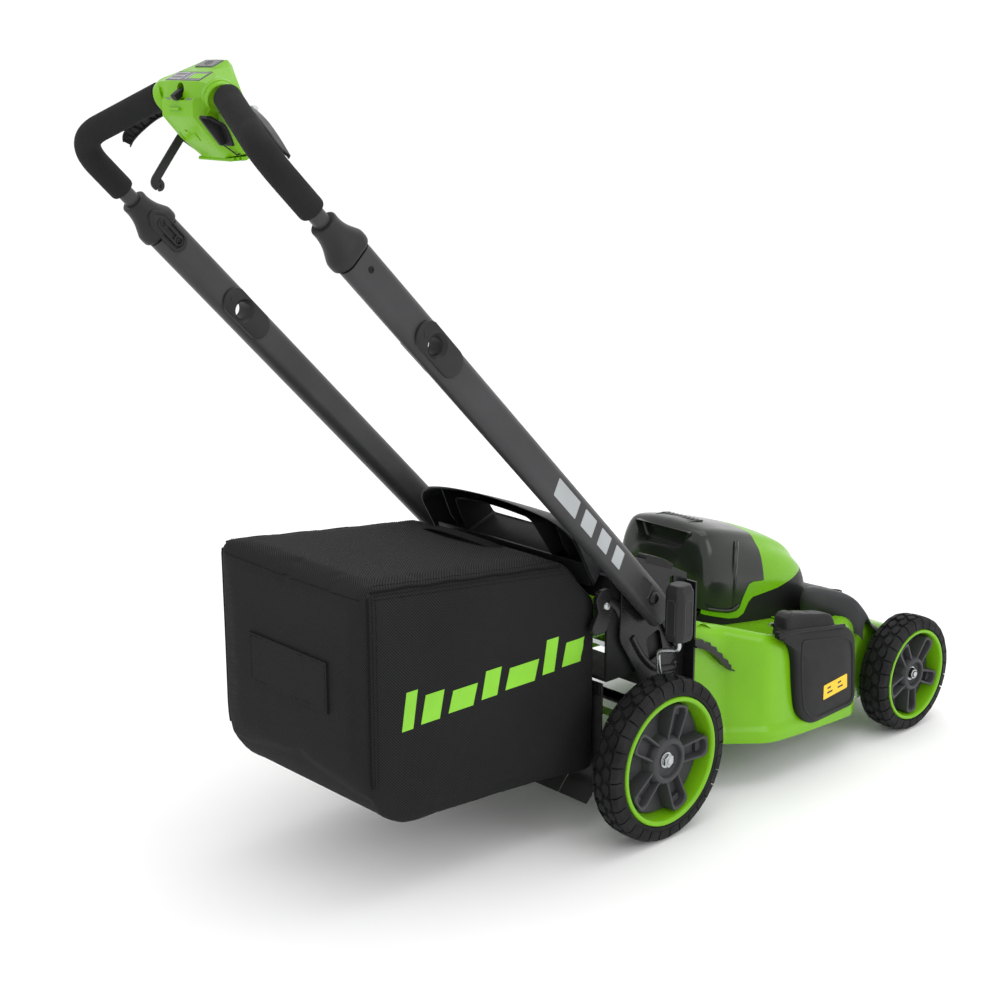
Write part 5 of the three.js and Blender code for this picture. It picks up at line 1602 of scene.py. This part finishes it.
def bracket(name, side):
    flip = (lambda part: part) if side > 0 else mirrored
    line = fillet(BRACKET, (10, 16, 16, 12, 8, 3, 6, 10, 16, 16), 5)
    slot = box(188, 200, 88, 96, 352, 378)
    window = slab_x(fillet([(36, 290), (66, 300), (76, 262), (46, 250)], 8, 4), 188, 200)
    cuts = [slot, window, rod_x(10, 185, 205, *REAR_PIVOT), rod_x(5.8, 185, 205, *FOLD)]
    piece(f"bracket_plate_{name}", flip(slab_x(line, 192, 195.6)), "bracket", "chassis", bevel=0.9,
          segments=2,
          cuts=[flip(c) for c in cuts], replaces=[f"bracket_{name}"])
    flange = slab_z([(193, 124.4), (216, 124.4), (216, 128), (193, 128)], 143, 366)
    piece(f"bracket_flange_{name}", flip(flange), "bracket", "chassis", bevel=0.8, segments=2,
          cuts=[flip(rod((206, 100, z), (206, 140, z), 2.8, 20)) for z in (348, 268)])
    rib = curve_through([(196.5, 4, 300), (196.8, 30, 262), (196.8, 62, 236), (196.5, 108, 228)], 6)
    piece(f"bracket_rib_{name}", flip(sweep(rib, [(-0.8, -6), (2, -3.4), (2, 3.4), (-0.8, 6)], (1, 0, 0))),
          "bracket", "chassis",
          angle=60)
    brace = curve_through([(197, 40, 372), (198, 64, 330), (200, 84, 296), (203, 108, 262)], 6)
    piece(f"bracket_brace_{name}",
          flip(sweep(brace, [(-1, -8), (1.6, -8), (3.4, -3), (3.4, 3), (1.6, 8), (-1, 8)], (1, 0, 0))),
          "bracket", "chassis", angle=45)
    for k, (y, z, r) in enumerate(((104, 234, 5.4), (100, 214, 4), (112, 168, 4), (74, 222, 4))):
        head = turn_x([(0.01, 195), (r + 2, 195), (r + 2, 196.2), (r, 198.6), (r * 0.5, 200), (0.01, 200)],
                      y, z, 24)
        recess = rod_x(r * 0.45, 198.4, 203, y, z, 6)
        piece(f"bracket_screw_{name}_{k}", flip(head), "bracket", "chassis", angle=40, cuts=[flip(recess)])
    top_pad = fillet([(28, 412), (92, 388), (96, 396), (72, 410), (34, 424)], 5, 4)
    piece(f"bracket_cap_{name}", flip(slab_x(top_pad, 176, 195.8)), "black", "chassis", bevel=2.2,
          segments=3)
    # fold bolt: flanged head outside, nut inside
    y, z = FOLD
    shank = turn_x([(0.01, 186), (9.5, 186), (9.5, 190.8), (5.4, 191), (5.4, 226.6), (10.4, 226.8),
                    (10.4, 228.4), (8.2, 231.6),
                    (5, 233.2), (0.01, 233.4)], y, z, 32)
    drive = rod_x(3.1, 230.6, 240, y, z, 6)
    piece(f"fold_bolt_{name}", flip(shank), "bracket", "chassis", angle=40, cuts=[flip(drive)],
          replaces=[f"pivot_bolt_{name}"])


def latch_hook(name, side):
    """Cast lever beside the bag that releases the rear hardware."""
    flip = (lambda part: part) if side > 0 else mirrored
    hook = fillet([(-40, 386), (-60, 384), (-68, 372), (-62, 352), (-76, 330), (-72, 318), (-46, 318),
                   (-40, 336), (-30, 360)], 5, 4)
    piece(f"hook_plate_{name}", flip(slab_x(hook, 181, 190)), "bracket", "chassis", bevel=1.6, segments=3)
    arm = curve_through([(187, -40, 366), (189, -22, 352), (190, -8, 322), (190, 6, 286), (190, 26, 246),
                         (190, 44, 214)], 6)
    piece(f"hook_arm_{name}", flip(sweep(arm, [(-2, -7), (2, -7), (4, -3), (4, 3), (2, 7), (-2, 7)],
                                         (1, 0, 0))), "bracket",
          "chassis", angle=45)
    piece(f"hook_pin_{name}", flip(turn_x([(0.01, 178), (6.4, 178), (6.4, 190.2), (5, 192.4), (2.4, 193),
                                           (0.01, 193)], 359 - 405,
                                          359, 24)), "zinc", "chassis", angle=40)


def height_quadrant():
    """Stepped shelf the height lever drops into."""
    steps = ((121, 275), (141, 270), (143, 264.5), (158, 261.5), (160.5, 255), (173, 250), (176, 242),
             (188, 236), (191, 228),
             (203, 221), (206, 213.5), (224, 206), (241, 202.5), (244, 197))
    under = ((238, 194), (222, 197), (206, 204), (190, 217), (174, 232), (158, 245), (140, 255), (121, 262))
    piece("quadrant_plate", slab_x(list(steps + under), 212, 221.6), "bracket", "chassis", bevel=0.9,
          segments=2,
          replaces=["height_quadrant"])
    lip = [(y, z) for y, z in under] + [(y, z + 2.4) for y, z in reversed(under)]
    piece("quadrant_lip", slab_x(lip, 220, 225), "bracket", "chassis", bevel=0.5, segments=2)


def height_lever():
    bends = ((212, 72, 160), (230, 66, 190), (230, 28, 244), (230, 25, 283), (262, 36, 288), (262, 35, 330))
    path = fillet([Vector(p) for p in bends], (1, 16, 20, 8, 8, 1), 6, closed=False)
    piece("lever_rod", sweep(path, circle(3.6, 20), (0, 1, 0)), "zinc", "rear_crank", angle=60,
          replaces=["height_rod"])
    plan = [(-19, -11), (-11, -19), (11, -19), (19, -11), (19, 11), (11, 19), (-11, 19), (-19, 11)]
    box_low, box_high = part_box("height_grip")
    cx, cy = (box_low.x + box_high.x) / 2 / MM, ((box_low.y + box_high.y) / 2 - SHIFT_Y) / MM
    z0, z1 = box_low.z / MM, box_high.z / MM - 14
    half = (box_high.x - box_low.x) / 2 / MM / 19 * 0.8
    span = z1 - z0
    rings = []
    for f, k in ((0, 0.74), (0.025, 0.9), (0.1, 1.0), (0.86, 1.0), (0.885, 0.985), (0.985, 0.79), (1, 0.7)):
        rings.append([(cx + a * half * k, cy + b * half * k, z0 + span * f) for a, b in fillet(plan, 3, 3)])
    piece("height_grip_body", loft(rings), "charcoal", "rear_crank", bevel=0.9, segments=3,
          replaces=["height_grip"])
    for k, out in enumerate((Vector((0, -1, 0)), Vector((1, 0, 0)))):
        across = Vector((0, 0, 1)).cross(out)
        edge = [Vector((cx, cy, z0)) + out * (19 * half + 0.2) + across * a * half * 0.98 + Vector((0, 0,
                span * f)) for a, f in
                ((-8, 0.14), (8, 0.14), (8, 0.7), (5, 0.75), (-5, 0.75), (-8, 0.7))]
        piece(f"height_grip_outline_{k}",
              closed_sweep([tuple(p) for p in edge], [(-0.5, -0.7), (0.3, -0.5), (0.3, 0.5), (-0.5, 0.7)],
                                                       tuple(out)), "hub", "rear_crank", angle=50)


def trailing_flap():
    line = curve_through([(-40, 232), (-40.5, 150), (-40, 86), (-55, 66), (-72, 47)], 6)
    back = [(y - 3.2, z + 0.6) for y, z in reversed(line)]
    slots = [box(x - 1.2, x + 1.2, -120, 0, 0, 100) for x in (-120, -60, 0, 60, 120)]
    piece("flap_sheet", slab_x(line + back, -180, 180), "flap", "chassis", bevel=0.6, segments=2,
          cuts=slots,
          replaces=["trailing_flap"])
    piece("flap_clamp", slab_x([(-38.2, 214), (-46, 214), (-46, 232), (-38.2, 232)], -178, 178), "bracket",
          "chassis", bevel=0.8,
          segments=2)


rear_door()
for name, side in SIDES:
    bracket(name, side)
    latch_hook(name, side)
height_quadrant()
height_lever()
trailing_flap()


# Floor, light and camera
def studio():
    ground = linked("floor", mesh_of("floor", ([(-60000, -60000, 0), (60000, -60000, 0), (60000, 60000, 0),
                                               (-60000, 60000, 0)], [[0, 1, 2, 3]])))
    n = Nodes("pale_floor")
    n.link(n.blend(n.spread(n.noise(1.5), 0, 1), (0.95, 0.95, 0.95), (0.97, 0.97, 0.97)),
           n.shader.inputs["Base Color"])
    n.link(n.spread(n.noise(40), 0.75, 0.85), n.shader.inputs["Roughness"])
    ground.data.materials.append(n.material)
    world = bpy.data.worlds.new("studio")
    world.use_nodes = True
    world.node_tree.nodes["Background"].inputs["Color"].default_value = (1, 1, 1, 1)
    world.node_tree.nodes["Background"].inputs["Strength"].default_value = 1.07
    bpy.context.scene.world = world
    softbox("overhead", (0.2, 0.6, 3.2), (0, 0, 0.3), 2.6, 26)
    softbox("right", (3.2, 0.6, 1.8), (0, 0, 0.5), 1.6, 19)
    softbox("rear", (-1.8, -3.0, 2.2), (0, -0.2, 0.6), 1.4, 6)


def softbox(name, place, aim, size, power):
    data = bpy.data.lights.new(name, "AREA")
    data.energy, data.size = power, size
    lamp = bpy.data.objects.new(name, data)
    lamp.location = place
    lamp.rotation_mode = "QUATERNION"
    lamp.rotation_quaternion = (Vector(aim) - Vector(place)).to_track_quat("-Z", "Y")
    bpy.context.scene.collection.objects.link(lamp)


def camera():
    data = bpy.data.cameras.new("camera")
    data.sensor_width, data.lens = 36, 61.76
    data.clip_end = 200
    cam = bpy.data.objects.new("camera", data)
    cam.location = (1.850, -1.8552, 1.154)
    turn, dip = math.radians(46.97), math.radians(14.65)
    look = Vector((-math.sin(turn) * math.cos(dip), math.cos(turn) * math.cos(dip), -math.sin(dip)))
    cam.rotation_mode = "QUATERNION"
    cam.rotation_quaternion = look.to_track_quat("-Z", "Y")
    bpy.context.scene.collection.objects.link(cam)
    bpy.context.scene.camera = cam


studio()
camera()
bpy.context.scene.view_settings.view_transform = "Standard"
